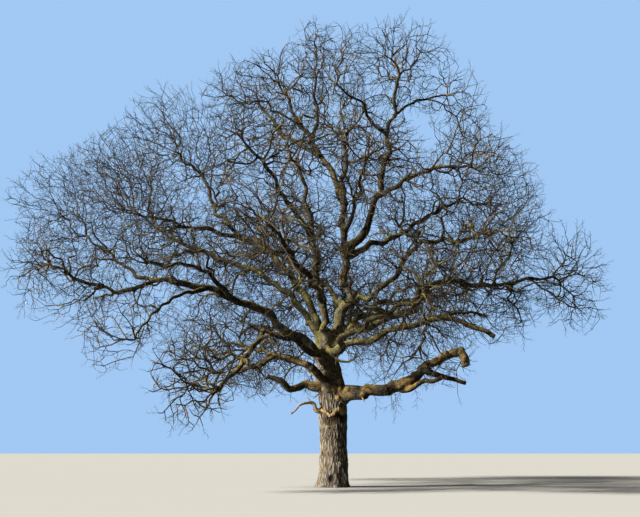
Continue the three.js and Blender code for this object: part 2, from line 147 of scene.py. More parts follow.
# Limbs in the order in which they are seated
LIMBS = [
    Row("centre_leader", "trunk", 5.4, 0.25, 0.085,
        [(1.1, 15, 69), (1.1, 16, 72), (1.4, 45, 84), (1.4, 63, 85), (1.2, 143, 82), (1.6, 330, 86),
         (1.4, 273, 84)], crown=(3.4, 79, 59, 2.4)),
    Row("left_leader", "trunk", 5.4, 0.21, 0.08,
        [(1.2, 259, 69), (1.1, 237, 78), (1.2, 218, 76), (1.2, 247, 79), (1.5, 211, 75), (1.1, 211, 80)],
        crown=(2.3, 242, 58, 2.1)),
    Row("left_riser", "left_leader", 4.7, 0.12, 0.06,
        [(0.8, 236, 30), (1.3, 232, 36), (1.2, 231, 43), (1.1, 215, 48)], crown=(2.2, 206, 37, 2.3)),
    Row("high_left", "centre_leader", 6.4, 0.15, 0.07,
        [(1.5, 136, 68), (1.4, 150, 55), (1.8, 148, 57), (1.3, 145, 60)], crown=(2.6, 145, 66, 2.1)),
    Row("spire", "high_left", 3.5, 0.09, 0.055,
        [(0.8, 299, 65), (0.8, 293, 77), (0.9, 222, 78)], crown=(3, 234, 83, 1.2)),
    Row("high_left_outer", "high_left", 2.8, 0.11, 0.06,
        [(1, 151, 26), (1.5, 139, 39), (2.2, 134, 48)], crown=(2.7, 157, 34, 2.2)),
    Row("right_leader", "centre_leader", 4.5, 0.17, 0.07,
        [(0.8, 313, 32), (1.2, 309, 52), (1.5, 324, 70), (1.4, 1, 79), (1.4, 24, 80), (1.1, 28, 79)],
        crown=(3, 48, 84, 2.2)),
    Row("loop_left", "right_leader", 5.3, 0.075, 0.05,
        [(0.9, 218, 18), (1, 224, 47), (0.8, 208, 28)], crown=(2.8, 228, 85, 1.5)),
    Row("high_right", "right_leader", 6.2, 0.07, 0.045,
        [(0.9, 34, 37), (1, 38, 33), (0.9, 28, 13)], crown=(1.4, 38, 28, 1.5)),
    Row("right_upper", "right_leader", 2.7, 0.1, 0.055,
        [(1.2, 314, 11), (1.2, 319, 17), (0.9, 317, -1), (0.8, 322, -4)], crown=(2.1, 331, 34, 2.3)),
    Row("right_shoulder", "centre_leader", 4.2, 0.15, 0.065,
        [(1.4, 45, 21), (2.3, 43, 24), (1.8, 38, 33), (1.8, 29, 28)], crown=(4.3, 8, 14, 2.7)),
    Row("right_riser", "centre_leader", 2, 0.13, 0.06,
        [(1.3, 311, 11), (1.7, 311, 16), (1.3, 306, 43), (1, 319, 35), (1.1, 329, -10), (0.9, 333, 11)],
        crown=(2.9, 354, 16, 2.4)),
    Row("right_long", "trunk", 5.5, 0.17, 0.06,
        [(1.2, 337, 31), (1.6, 340, 16), (1.2, 346, 19), (0.9, 331, 77), (1.1, 355, 14), (1.9, 6, -3),
         (2.3, 10, 9)], crown=(2.5, 8, 6, 2.2)),
    Row("right_rear", "trunk", 5.4, 0.15, 0.07,
        [(2.2, 52, 35), (2, 58, 31), (2.4, 54, 11), (2.7, 44, 12)], crown=(5.2, 9, -1, 2.4)),
    Row("right_low", "trunk", 5.2, 0.16, 0.085,
        [(1.4, 317, 17), (1.4, 336, 12), (1.6, 335, 19), (1.4, 344, 5), (1, 346, -30), (0.7, 352, -20)],
        prongs=[Prong(4.7, 0.07, 0.05, [(0.9, 8, 12), (0.8, 2, 4), (0.7, 356, -14)])]),
    Row("right_lowest", "trunk", 3.6, 0.28, 0.155,
        [(1.29, 332, 4), (1.25, 335, 16), (1.54, 334, 18), (0.84, 330, 33), (0.71, 339, 12),
         (0.64, 319, -44)],
        prongs=[Prong(2.5, 0.12, 0.085, [(0.67, 320, -20), (0.57, 328, 3), (0.53, 338, 9), (0.63, 322, 25)]),
                Prong(4.05, 0.105, 0.08, [(0.56, 17, -21), (0.54, 17, -14), (0.68, 13, -12)])]),
    Row("front_right", "trunk", 5.2, 0.15, 0.06,
        [(2.1, 291, 16), (2.1, 294, 11), (2.1, 297, 8), (1.6, 299, 8)], crown=(1.8, 295, 14, 2.3)),
    Row("front_left", "left_leader", 2.2, 0.13, 0.06,
        [(1.9, 256, 11), (2, 254, 15), (1.9, 254, 14), (1.3, 256, 14)], crown=(1.8, 257, 28, 2.3)),
    Row("front_high", "centre_leader", 5.4, 0.1, 0.055,
        [(1.8, 278, 16), (1.8, 277, 18), (1.5, 277, 19)], crown=(1.8, 272, 48, 2.3)),
    Row("back_low", "trunk", 5.4, 0.16, 0.06,
        [(2.2, 78, 20), (2.4, 78, 20), (2.2, 80, 22), (1.9, 88, 24)], crown=(2.2, 88, 41, 2.4)),
    Row("back_left", "centre_leader", 2.1, 0.13, 0.06,
        [(2.4, 106, 24), (2.4, 115, 24), (2.4, 120, 26), (2, 125, 29)], crown=(2.8, 136, 42, 2.5)),
    Row("left_high", "trunk", 5.5, 0.18, 0.07,
        [(1.4, 164, 75), (1.6, 142, 54), (2.2, 142, 47), (2.2, 149, 31), (1.6, 148, 42), (1.9, 139, 61)],
        crown=(5.2, 172, 50, 2.7)),
    Row("left_high_fork", "left_high", 7.2, 0.1, 0.06,
        [(0.9, 205, 4), (1.4, 209, 3), (1.4, 208, 10)], crown=(4.5, 201, 58, 2.6)),
    Row("left_middle", "trunk", 5.2, 0.17, 0.06,
        [(2.1, 118, 42), (2.5, 119, 42), (2.4, 138, 31), (2.7, 154, 22), (2.4, 161, 23), (2, 169, 38)],
        crown=(4.8, 175, 43, 2.5)),
    Row("left_long", "trunk", 5, 0.2, 0.05,
        [(1.6, 212, 34), (1.9, 205, 29), (2.1, 198, 21), (1.9, 192, 14), (1.8, 194, -18), (1.3, 188, 14),
         (1.3, 191, 26)], crown=(2, 186, 10, 2)),
    Row("left_long_riser", "left_long", 7.8, 0.085, 0.05,
        [(1, 165, 10), (1.6, 152, 37), (1.4, 150, 32)], crown=(4.2, 164, 44, 2.4)),
    Row("left_mossy", "left_long", 4.5, 0.1, 0.05,
        [(1.1, 226, 34), (1, 235, 27), (1.1, 224, 3), (1.3, 228, -6)], crown=(2.4, 215, 30, 2.3)),
    Row("left_drop", "left_long", 6, 0.08, 0.045,
        [(1.5, 231, -17), (1.3, 240, -29), (1.4, 242, -39)], crown=(2.3, 200, 3, 1.7)),
    Row("left_low", "trunk", 4.8, 0.14, 0.085,
        [(2.3, 236, 21), (1.9, 229, 9), (1.2, 239, -41), (1, 240, -42), (0.8, 227, -35)],
        crown=(2.8, 207, 3, 1.9)),
    Row("left_rear", "trunk", 3.8, 0.14, 0.06,
        [(2.5, 121, 30), (2.4, 125, 13), (3.5, 134, 14)], crown=(3.5, 153, 9, 2.2)),
    Row("left_lowest", "trunk", 3.72, 0.19, 0.085,
        [(0.69, 255, 22), (1.09, 205, 39), (0.84, 200, 18), (0.69, 193, 6), (0.51, 199, -29),
         (1.01, 189, -21)]),
]

# What is left of two limbs on the trunk's left-hand side, and a mossy snag that hangs in front of the fork
SNAGS = [
    Row("broken_limb", "trunk", 2.9, 0.12, 0.025,
        [(0.7, 210, 14), (0.45, 190, 30), (0.45, 205, -18), (0.45, 215, -32)]),
    Row("mossy_stub", "trunk", 4, 0.19, 0.095,
        [(1.07, 196, 0), (0.73, 196, -12), (0.53, 197, 39), (0.46, 198, 25)]),
    Row("fork_snag", "left_leader", 0.35, 0.095, 0.03,
        [(0.7, 291, -40), (0.39, 330, -45), (0.37, 351, -4), (0.29, 354, 15), (0.21, 356, 41)]),
]

# Boughs that are skinned together, each with what grows on it
LEFT_BOUGHS = [row.name for row in LIMBS if row.name.startswith("left_") or row.name == "front_left"]
RIGHT_BOUGHS = ["right_long", "right_rear", "right_low", "right_lowest", "front_right", "back_low"]

# How mossy a bough's upper side is and how ochre its bark on the side that faces the key light, from 0 to 1,
# where they differ from the rest. The ochre there is the algae's colour and partly a painted sunlit tone.
MOSS = {
    "left_high": 1.0, "left_long": 0.9, "right_low": 0.9, "left_mossy": 1.0, "right_riser": 0.9,
    "left_middle": 0.85, "right_long": 0.85, "left_leader": 0.75, "right_lowest": 0.35, "left_lowest": 0.4,
    "left_low": 0.5, "mossy_stub": 0.35, "fork_snag": 1.0, "trunk": 0.25,
}
USUAL_MOSS = 0.6
OCHRE = {
    "left_lowest": 1.0, "left_low": 0.8, "right_lowest": 0.8, "left_rear": 0.5, "right_low": 0.35,
    "mossy_stub": 1.0, "fork_snag": 0.9, "trunk": 0.1,
}
USUAL_OCHRE = 0.12
# How pale a bough's bark is, from 0 as the usual bough to 1 as the trunk
PALE = {"centre_leader": 0.5, "left_leader": 0.25, "right_long": 0.2, "front_high": 0.3}

# Twigs that hang from the low boughs: from and to these shares of a bough, how many, and how long
HANGING = {
    "right_low": (0.3, 0.8, 16, 1.35), "right_lowest": (0.3, 0.8, 9, 0.9),
    "left_lowest": (0.4, 0.95, 10, 0.9), "right_long": (0.15, 0.98, 18, 1.35),
    "left_low": (0.35, 0.9, 8, 1.1), "left_drop": (0.4, 1.0, 6, 1.0), "front_right": (0.12, 0.6, 12, 1.2),
}

# Girths of the sleeves that differ from the usual one
SLEEVES = {"right_low": 1.1, "right_lowest": 0.8, "left_lowest": 0.9, "left_drop": 1.3, "left_long": 2.0}

TRIANGLE_LIMIT = 190000  # for one piece
FAR = 9.0  # further than anything that is compared with it


def seeded(seed):
    """Numbers from 0 to 1 by the minimal standard generator, the same as the solids draw."""
    state = seed * 7919 + 17

    def draw():
        nonlocal state
        state = (state * 16807) % 2147483647
        return state / 2147483647

    return draw


def heading(bearing, climb):
    """The unit vector that has a bearing and a climb, in degrees."""
    turn = math.radians(bearing)
    rise = math.radians(climb)
    return np.array([math.cos(rise) * math.cos(turn), math.cos(rise) * math.sin(turn), math.sin(rise)])


def unit(vectors):
    """Vectors at unit length."""
    return vectors / np.linalg.norm(vectors, axis=-1, keepdims=True)


def smoothstep(low, high, value):
    """0 below low, 1 above high, and a smooth step between."""
    share = np.clip((value - low) / (high - low), 0, 1)
    return share * share * (3 - 2 * share)


def lattice(cells, seed):
    """Even numbers from 0 to 1 that belong to whole-number places."""
    mixed = cells[:, 0] * 374761393 + cells[:, 1] * 668265263 + cells[:, 2] * 2246822519 + seed * 3266489917
    mixed &= 0xFFFFFFFF
    mixed = ((mixed ^ (mixed >> 13)) * 1274126177) & 0xFFFFFFFF
    return ((mixed ^ (mixed >> 16)) & 0xFFFF) / 65535


def noise(places, seed):
    """Smooth noise from 0 to 1 with one cell a unit."""
    cells = np.floor(places)
    part = places - cells
    part = part * part * (3 - 2 * part)
    cells = cells.astype(np.int64)
    total = np.zeros(len(places))
    for corner in itertools.product((0, 1), repeat=3):
        share = np.where(corner, part, 1 - part).prod(axis=1)
        total += share * lattice(cells + np.array(corner), seed)
    return total


def plates(places, seed):
    """Plates about one unit wide that fill space: how far places lie from the edge of their plate, and a
    number from 0 to 1 that belongs to the plate."""
    cells = np.floor(places).astype(np.int64)
    nearest = np.full(len(places), FAR)
    second = nearest.copy()
    own = np.zeros(len(places))
    for step in itertools.product((-1, 0, 1), repeat=3):
        cell = cells + np.array(step)
        centre = cell + np.column_stack([lattice(cell, seed + k) for k in range(3)])
        apart = np.linalg.norm(places - centre, axis=1)
        closer = apart < nearest
        second = np.where(closer, nearest, np.minimum(second, apart))
        own = np.where(closer, lattice(cell, seed + 3), own)
        nearest = np.minimum(nearest, apart)
    return second - nearest, own


def between(distance, distances, places):
    """The places at these distances on the straight steps between other places."""
    return np.stack([np.interp(distance, distances, places[:, k]) for k in range(3)], axis=-1)


def curved(start, end, leave, arrive, share):
    """The place at a share of the curve from start to end that leaves and arrives along these vectors."""
    left = 1 - share
    place = start * (1 + 2 * share) * left**2 + end * share * share * (3 - 2 * share)
    return place + (leave * share * left**2 + arrive * share * share * (share - 1))


def carried(side, ways):
    """The unit vectors that a side gives when it is carried along a line and kept square to its ways."""
    sides = []
    for way in ways:
        side = side - way * (side @ way)
        side = side / np.linalg.norm(side)
        sides.append(side)
    return np.array(sides)


def spokes(side, up, count):
    """Unit vectors all round a ring, from its side towards its up."""
    turns = np.arange(count) * 2 * math.pi / count
    return np.outer(np.cos(turns), side) + np.outer(np.sin(turns), up)


def sideways(way, random):
    """A random unit vector square to a way."""
    out = random.normal(size=3)
    return unit(out - way * (out @ way))


class Line:
    """A smooth line from a start through the ends of a course's steps, with a crook along it."""

    def __init__(self, start, course, random=None):
        self.runs = np.array([run for run, _, _ in course], float)
        ways = np.array([heading(bearing, climb) for _, bearing, climb in course])
        self.ends = np.cumsum(self.runs)
        self.length = float(self.ends[-1])
        self.knots = start + np.vstack([np.zeros(3), np.cumsum(ways * self.runs[:, None], axis=0)])
        self.ways = np.vstack([ways[:1], unit(ways[1:] + ways[:-1]), ways[-1:]])
        self.crooks = []
        for size, wave in CROOKS if random else []:
            bearing = 360 * random()
            across = heading(bearing, 120 * random() - 60) * size
            wave *= 0.8 + 0.4 * random()
            self.crooks.append((across, wave, 2 * math.pi * random()))

    def smooth(self, distance):
        """The places at these distances from the foot, without the crook."""
        distance = np.asarray(distance, float)
        step = np.minimum(np.searchsorted(self.ends, distance), len(self.runs) - 1)
        run = self.runs[step]
        left = distance - self.ends[step] + run
        before, after = self.ways[step], self.ways[step + 1]
        leave, arrive = before * run[..., None], after * run[..., None]
        share = np.clip(left / run, 0, 1)[..., None]
        place = curved(self.knots[step], self.knots[step + 1], leave, arrive, share)
        short, beyond = np.minimum(left, 0), np.maximum(left - run, 0)
        return place + (before * short[..., None] + after * beyond[..., None])

    def straight(self, distance):
        """The places at these distances on the straight steps of the course."""
        return between(distance, np.concatenate([[0], self.ends]), self.knots)

    def at(self, distance):
        """The places at these distances from the foot."""
        distance = np.asarray(distance, float)
        place = self.smooth(distance)
        grown = np.clip(distance / CROOK_START, 0, 1)
        for across, wave, phase in self.crooks:
            place += across * (grown * np.sin(2 * math.pi * distance / wave + phase))[..., None]
        return place

    def way(self, distance):
        """The unit vectors along the line at these distances."""
        distance = np.asarray(distance)
        return unit(self.at(distance + NUDGE) - self.at(distance - NUDGE))


class Limb:
    """The trunk, a limb or a prong: its line, its girth and the rings that its skin is laid on."""

    def __init__(self, name, line, thick, thin, seat=0.0, crown=None):
        self.name = name
        self.bough = name.split("_prong")[0]  # the bough that a prong belongs to
        self.line = line
        self.thick = thick
        self.thin = thin
        self.seat = seat  # how far its foot lies inside the limb that it grows from
        self.crown = crown
        count = max(2, round(line.length / RING_SPACING)) + 1
        self.distances = np.linspace(0, line.length, count)
        self.radii = self.radius(self.distances)
        self.places = line.at(self.distances) + self.bends()
        self.ways = line.way(self.distances)
        across = np.array([1.0, 0, 0]) if abs(self.ways[0, 0]) < 0.7 else np.array([0, 1.0, 0])
        self.sides = carried(across, self.ways)
        self.ups = np.cross(self.ways, self.sides)

    def middle(self, distance):
        """The place in the middle of the skin at this distance."""
        return between(distance, self.distances, self.places)

    def bends(self):
        """How far the rings lie off the line: elbows, and small sharp bends that die out at both ends."""
        if self.name == "trunk":
            return 0
        elbows = ELBOWS * (self.line.straight(self.distances) - self.line.smooth(self.distances))
        random = np.random.default_rng(sum(map(ord, self.name)))
        knots = np.cumsum(random.uniform(0.3, 0.75, int(self.line.length / 0.4)))
        steps = between(self.distances, knots, random.normal(size=(len(knots), 3)) * KINK)
        grown = smoothstep(self.seat, self.seat + KINK_RUN, self.distances)
        grown = grown * smoothstep(0, KINK_RUN, self.line.length - self.distances)
        return elbows + steps * (grown * (0.012 + self.radii))[:, None]

    def radius(self, distance):
        """The radius at these distances, straight from thick to thin."""
        if self.name == "trunk":
            return np.interp(distance, *zip(*TRUNK_RADII))
        return self.thick + (self.thin - self.thick) * np.asarray(distance) / self.line.length


@functools.cache
def lay_out():
    """The trunk and all limbs by name, with prongs and snags as limbs of their own."""
    trunk = Limb("trunk", Line(np.zeros(3), TRUNK_COURSE), TRUNK_RADII[0][1], TRUNK_RADII[-1][1])
    laid = {"trunk": trunk}
    for i, row in enumerate(LIMBS + SNAGS):
        random = seeded(i + 1)
        bearer = laid[row.on]
        line = Line(bearer.line.at(row.at), row.course, random)
        limb = Limb(row.name, line, row.thick, row.thin, float(bearer.radius(row.at)), row.crown)
        laid[row.name] = limb
        for k, prong in enumerate(row.prongs):
            name = f"{row.name}_prong_{k + 1}"
            course = Line(line.at(prong.at), prong.course, random)
            laid[name] = Limb(name, course, prong.thick, prong.thin, float(limb.radius(prong.at)))
    return laid


def root_flare(height, bearing):
    """How far the roots stand out of the trunk, at heights and bearings in radians."""
    spread = np.zeros_like(bearing)
    for root in ROOT_BEARINGS:
        turned = (np.degrees(bearing) - root + 180) % 360 - 180
        spread += np.exp(-((turned / ROOT_WIDTH) ** 2))
    return ROOT_REACH * spread * np.exp(-((max(height, 0) / ROOT_RISE) ** 1.3))


COLLAR = 0.4  # how much wider a limb is where it leaves the one that bears it
COLLAR_RUN = 0.28
STUB_RUN = 1.15  # how far the trunk's skin follows each bough beyond the trunk's own bark
STUB_OVERLAP = 0.7  # how far the bough's own skin and the trunk's lie in each other, and shrink
STUB_SHRINK = 0.84  # to this share of the girth on the trunk's skin
BOUGH_SHRINK = 0.78  # and to this share on the bough's
TRUNK_SIDES = 72
TRUNK_SUNK = 0.06  # how far below the ground the trunk's skin starts
ASKEW = (0.31, 0.77, 0.2)  # a direction that no run of wood follows


def tube(limb, first=0.0, sides=18, last=None, shrink_start=1.0, shrink_end=1.0, below=0.0):
    """A closed tube along a limb between two distances. It is wider at its collar, and shrinks to a share
    of its girth over a short run at an end that lies in another skin. Like every closed form it is a pair of
    vertices and faces."""
    last = limb.line.length if last is None else last
    rings = []
    for i in np.flatnonzero((limb.distances >= first - 1e-6) & (limb.distances <= last + 1e-6)):
        distance = limb.distances[i]
        ring = spokes(limb.sides[i], limb.ups[i], sides)
        reach = np.full(sides, limb.radii[i])
        if limb.name == "trunk":
            reach = reach + root_flare(distance, np.arctan2(ring[:, 1], ring[:, 0]))
        else:
            reach = reach * (1 + COLLAR * math.exp(-max(0.0, distance - limb.seat) / COLLAR_RUN))
        for shrunk, inside in ((shrink_start, distance - first), (shrink_end, last - distance)):
            reach = reach * (shrunk + (1 - shrunk) * smoothstep(0, 1, inside / STUB_OVERLAP))
        rings.append(limb.places[i] + ring * reach[:, None])
    if below:
        rings.insert(0, rings[0] - np.array([0, 0, below]))
    return np.vstack(rings), ring_faces(len(rings), sides)


def strand(places, radii, sides=8):
    """A closed tube through a few places."""
    ways = unit(np.gradient(places, axis=0))
    across = carried(np.cross(places[-1] - places[0], ASKEW), ways)
    rings = [
        place + spokes(side, np.cross(way, side), sides) * radius
        for place, way, side, radius in zip(places, ways, across, radii)
    ]
    return np.vstack(rings), ring_faces(len(rings), sides)


def pointed(places, radii, sides, askew=ASKEW):
    """A closed run through places that ends in a point at the last of them."""
    way = unit(places[-1] - places[0])
    side = unit(np.cross(way, askew))
    ring = spokes(side, np.cross(way, side), sides)
    corners = [place + ring * radius for place, radius in zip(places, radii)]
    return np.vstack([*corners, places[-1:]]), ring_faces(len(corners), sides, to_point=True)


def ring_faces(count, sides, to_point=False):
    """The faces of a closed run of this many rings, with both ends. The last end is flat, or comes to a
    point whose vertex follows those of the rings."""
    here = np.arange(count - 1)[:, None] * sides + np.arange(sides)
    beside = np.arange(count - 1)[:, None] * sides + (np.arange(sides) + 1) % sides
    faces = np.stack([here, beside, beside + sides, here + sides], axis=2).reshape(-1, 4).tolist()
    faces.append(list(range(sides))[::-1])
    last = list(range((count - 1) * sides, count * sides))
    if to_point:
        faces.extend([one, other, count * sides] for one, other in zip(last, last[1:] + last[:1]))
    else:
        faces.append(last)
    return faces


def boss(centre, sizes, bearing=0.0):
    """A closed lump with these half sizes, turned to a bearing."""
    ball = bmesh.new()
    bmesh.ops.create_icosphere(ball, subdivisions=3, radius=1)
    spin = Matrix.Rotation(math.radians(bearing), 4, "Z")
    ball.transform(Matrix.Translation(Vector(centre)) @ spin @ Matrix.Diagonal((*sizes, 1)))
    ball.verts.ensure_lookup_table()
    corners = np.array([vert.co[:] for vert in ball.verts])
    faces = [[vert.index for vert in face.verts] for face in ball.faces]
    ball.free()
    return corners, faces


def joined(forms, name):
    """One mesh of several closed forms."""
    corners = []
    faces = []
    start = 0
    for places, sides in forms:
        corners.append(places)
        faces.extend([corner + start for corner in face] for face in sides)
        start += len(places)
    mesh = bpy.data.meshes.new(name)
    mesh.from_pydata(np.vstack(corners).tolist(), [], faces)
    mesh.update()
    return mesh


def new_object(name, mesh):
    """An object at the origin in the scene."""
    made = bpy.data.objects.new(name, mesh)
    bpy.context.scene.collection.objects.link(made)
    return made


def plain_mesh(made, name):
    """The mesh that an object's modifiers give, on a new object that takes its place."""
    depsgraph = bpy.context.evaluated_depsgraph_get()
    mesh = bpy.data.meshes.new_from_object(made.evaluated_get(depsgraph), depsgraph=depsgraph)
    bpy.data.objects.remove(made)
    mesh.name = name
    return new_object(name, mesh)


def fused(forms, grid, name):
    """Closed forms made into one skin on a grid of this size."""
    made = new_object(name, joined(forms, name))
    remesh = made.modifiers.new("skin", "REMESH")
    remesh.mode = "VOXEL"
    remesh.voxel_size = grid
    remesh.use_smooth_shade = True
    return plain_mesh(made, name)


def read_vectors(items, field):
    """A vector of each of a mesh's items, as an array."""
    values = np.empty(len(items) * 3, np.float32)
    items.foreach_get(field, values)
    return values.reshape(-1, 3).astype(float)


def write_places(mesh, places):
    """Moves a mesh's vertices to these places."""
    mesh.vertices.foreach_set("co", places.astype(np.float32).ravel())
    mesh.update()


def store(mesh, **named_values):
    """Keeps values or vectors for the vertices as attributes with these names."""
    for name, values in named_values.items():
        kind, field = ("FLOAT_VECTOR", "vector") if values.ndim == 2 else ("FLOAT", "value")
        attribute = mesh.attributes.new(name, kind, "POINT")
        attribute.data.foreach_set(field, values.astype(np.float32).ravel())


def eased(mesh, places, weights, rounds):
    """The places drawn towards their neighbours' middle, where the weights ask for it."""
    edges = np.empty(len(mesh.edges) * 2, np.int32)
    mesh.edges.foreach_get("vertices", edges)
    one, other = edges.reshape(-1, 2).T
    count = len(places)
    degree = np.bincount(one, minlength=count) + np.bincount(other, minlength=count)
    for _ in range(rounds):
        middle = np.stack([
            np.bincount(one, places[other, k], count) + np.bincount(other, places[one, k], count)
            for k in range(3)
        ], axis=1) / degree[:, None]
        places = places + (middle - places) * weights[:, None]
    return places


SKIN_MARGIN = 0.9  # how far from a limb's middle line its skin can be
AT_A_TIME = 4000  # places that are compared in one go


class Setting:
    """Where each place of a skin lies on the limbs under it: the nearest limb's number, the distance along
    it, the offset across it, its radius there, and how far off the next limb's bark is."""

    def __init__(self, places, limbs):
        count = len(places)
        gaps = np.full((len(limbs), count), FAR)
        rings = np.zeros((len(limbs), count), int)
        for i, limb in enumerate(limbs):
            low = limb.places.min(axis=0) - SKIN_MARGIN
            high = limb.places.max(axis=0) + SKIN_MARGIN
            near = np.flatnonzero(((places > low) & (places < high)).all(axis=1))
            for part in np.array_split(near, len(near) // AT_A_TIME + 1):
                apart = np.linalg.norm(places[part, None] - limb.places[None], axis=2) - limb.radii
                rings[i, part] = apart.argmin(axis=1)
                gaps[i, part] = apart.min(axis=1)
        order = np.argsort(gaps, axis=0)
        self.limb = order[0]
        self.next_gap = gaps[order[min(1, len(limbs) - 1)], np.arange(count)]
        self.along = np.zeros(count)
        self.across = np.zeros((count, 2))
        self.radius = np.zeros(count)
        for i, limb in enumerate(limbs):
            mine = np.flatnonzero(self.limb == i)
            ring = rings[i, mine]
            off = places[mine] - limb.places[ring]
            self.along[mine] = limb.distances[ring] + (off * limb.ways[ring]).sum(axis=1)
            self.across[mine, 0] = (off * limb.sides[ring]).sum(axis=1)
            self.across[mine, 1] = (off * limb.ups[ring]).sum(axis=1)
            self.radius[mine] = limb.radii[ring]


FORK_EASE = 0.16  # how far from a fork's crease the skin is eased
EASE_ROUNDS = 14
EASE_SHARE = 0.6

TRUNK_SWELL = 0.024  # how far the bark stands out of the trunk's solid

# Old wounds on the trunk: bearing, height, half width, half height, depth, and how bare the wood is there.
# Where no wood is bare, the hollow and the bark round it are painted dark: painted shade in the hollow, and
# below the ridge of torn wood a painted shadow.
WOUNDS = [
    (262, 0.34, 0.10, 0.13, 0.10, 0.0),
    (256, 2.62, 0.26, 0.19, 0.15, 0.0),
    (291, 2.68, 0.26, 0.19, 0.13, 0.0),
    (200, 2.2, 0.07, 0.12, 0.04, 0.2),
    (40, 2.5, 0.08, 0.11, 0.05, 0.1),
    (110, 1.6, 0.06, 0.09, 0.035, 0.1),
]

# The ridge of torn wood across the front of the trunk: bearing, height, how far out, and radius
RIDGE = [
    (196, 3.14, -0.03, 0.055), (212, 3.06, 0.04, 0.075), (230, 2.99, 0.08, 0.08), (246, 2.93, 0.1, 0.07),
    (258, 2.8, 0.11, 0.075), (268, 2.84, 0.13, 0.085), (277, 2.98, 0.12, 0.095), (288, 3.08, 0.11, 0.1),
    (299, 3.0, 0.1, 0.09), (309, 2.92, 0.05, 0.07), (320, 2.95, -0.02, 0.05),
]

# Burrs, healed cuts and knots on the trunk, by bearing, height and size
TRUNK_BURRS = [
    (300, 0.9, 0.12), (215, 1.35, 0.1), (250, 2.35, 0.08), (150, 2.9, 0.14), (75, 3.1, 0.16),
    (28, 1.9, 0.1), (276, 3.88, 0.16), (301, 3.86, 0.19), (318, 3.6, 0.15), (232, 3.5, 0.08),
    (288, 3.52, 0.12), (309, 4.18, 0.13),
]
KNOBS_ABOVE = 3.45  # the burrs that are healed cuts start at this height

# Burrs on boughs: the distance from the bough's foot, towards which bearing and climb, and the size
BOUGH_BURRS = {
    "right_lowest": [(0.75, 250, 35, 0.17), (0.95, 255, -20, 0.13), (1.2, 250, 50, 0.13),
                     (2.3, 245, 15, 0.2), (3.1, 250, -40, 0.15), (3.6, 200, 70, 0.13), (4.3, 240, 20, 0.14),
                     (5.2, 230, 50, 0.12), (5.62, 330, 48, 0.14), (5.7, 250, -10, 0.12)],
    "left_lowest": [(1.75, 250, 10, 0.13)],
    "right_low": [(2.4, 240, -30, 0.13)],
    "left_long": [(3.4, 250, -40, 0.14), (6.2, 270, 20, 0.1)],
    "left_high": [(3.2, 250, 0, 0.13), (5.4, 240, 30, 0.1)],
    "centre_leader": [(3.1, 260, 0, 0.15), (5.6, 200, 0, 0.12)],
    "right_long": [(2.7, 260, -20, 0.12), (4.9, 260, 30, 0.11)],
}


def on_trunk(bearing, height, out=0.0):
    """The place on the trunk's solid at a bearing and a height, or this far out of it."""
    trunk = lay_out()["trunk"]
    return trunk.line.at(height) + heading(bearing, 0) * (float(trunk.radius(height)) + out)


def ridge_places():
    """The middle line of the ridge of torn wood."""
    return np.array([on_trunk(bearing, height, out) for bearing, height, out, _ in RIDGE])


def trunk_wounds(places, setting):
    """How deep the old wounds sink the trunk's bark, how bare their wood is, and how dark their hollows are
    painted: a painted shade in and round each hollow.
    """
    sunk, bare, dark = np.zeros((3, len(places)))
    for bearing, height, wide, tall, depth, wood in WOUNDS:
        off = places - on_trunk(bearing, height)
        level = np.hypot(off[:, 0], off[:, 1]) / wide
        share = np.exp(-((level**2 + (off[:, 2] / tall) ** 2))) * (setting.limb == 0)
        sunk += depth * share
        bare = np.maximum(bare, wood * smoothstep(0.25, 0.7, share))
        # Painted shade: a dark patch wider than the hollow, which also stands for the shadow under the ridge
        dark = np.maximum(dark, (wood == 0) * smoothstep(0.1, 0.42, share))
    ridge = ridge_places()
    for one, other in zip(ridge, ridge[1:]):
        share = np.clip((places - one) @ (other - one) / ((other - one) @ (other - one)), 0, 1)
        apart = np.linalg.norm(places - one - share[:, None] * (other - one), axis=1)
        bare = np.maximum(bare, 1 - smoothstep(0.08, 0.13, apart))
    return sunk * (1 - bare), bare, dark * (1 - bare)


def knobs(places):
    """How near places are to the healed cuts under the fork, from 0 to 1."""
    near = np.zeros(len(places))
    for bearing, height, size in TRUNK_BURRS:
        if height > KNOBS_ABOVE:
            apart = np.linalg.norm(places - on_trunk(bearing, height, size / 2), axis=1)
            near = np.maximum(near, 1 - smoothstep(0.6, 1.3, apart / size))
    return near


MOSSY_SIDE = unit(np.array([-0.35, -0.15, 0.9]))
# The side that faces the key light, where the ochre is laid: partly a painted warm sunlit tone
SUNNY_SIDE = unit(np.array([-0.6, -0.45, 0.65]))
STOUT = 0.5  # from this radius on a limb has the trunk's full furrows
PLATE_LENGTH = 6.5  # how many times as long as wide the plates of bark are


def bark_relief(grain, radius, settings):
    """The furrows of the bark, from 0 to 1, and how far its plates, furrows and lumps sink it."""
    girth = np.clip(radius / STOUT, 0, 1)
    width = settings.furrow_width * (0.4 + 0.6 * girth)
    depth = settings.furrow_depth * np.maximum(girth, 0.14)
    wander = noise(grain * 2.3, 5)[:, None] - 0.5
    edge, raised = plates(grain / (1, 1, PLATE_LENGTH) / width[:, None] + wander * 1.2, 11)
    furrows = 1 - smoothstep(0.02, 0.42, edge)
    steps = (raised - 0.5) * 0.5
    lumps = noise(grain * 1.9, 41) + 0.5 * noise(grain * 4.3, 43) - 0.75
    return furrows, depth * (furrows + steps - 0.45) - lumps * np.where(radius > 0.35, 0.16, 0.32) * radius


def by_bough(table, usual, limbs, setting):
    """The value of its bough for each place, or the usual one."""
    return np.array([table.get(limb.bough, usual) for limb in limbs])[setting.limb]


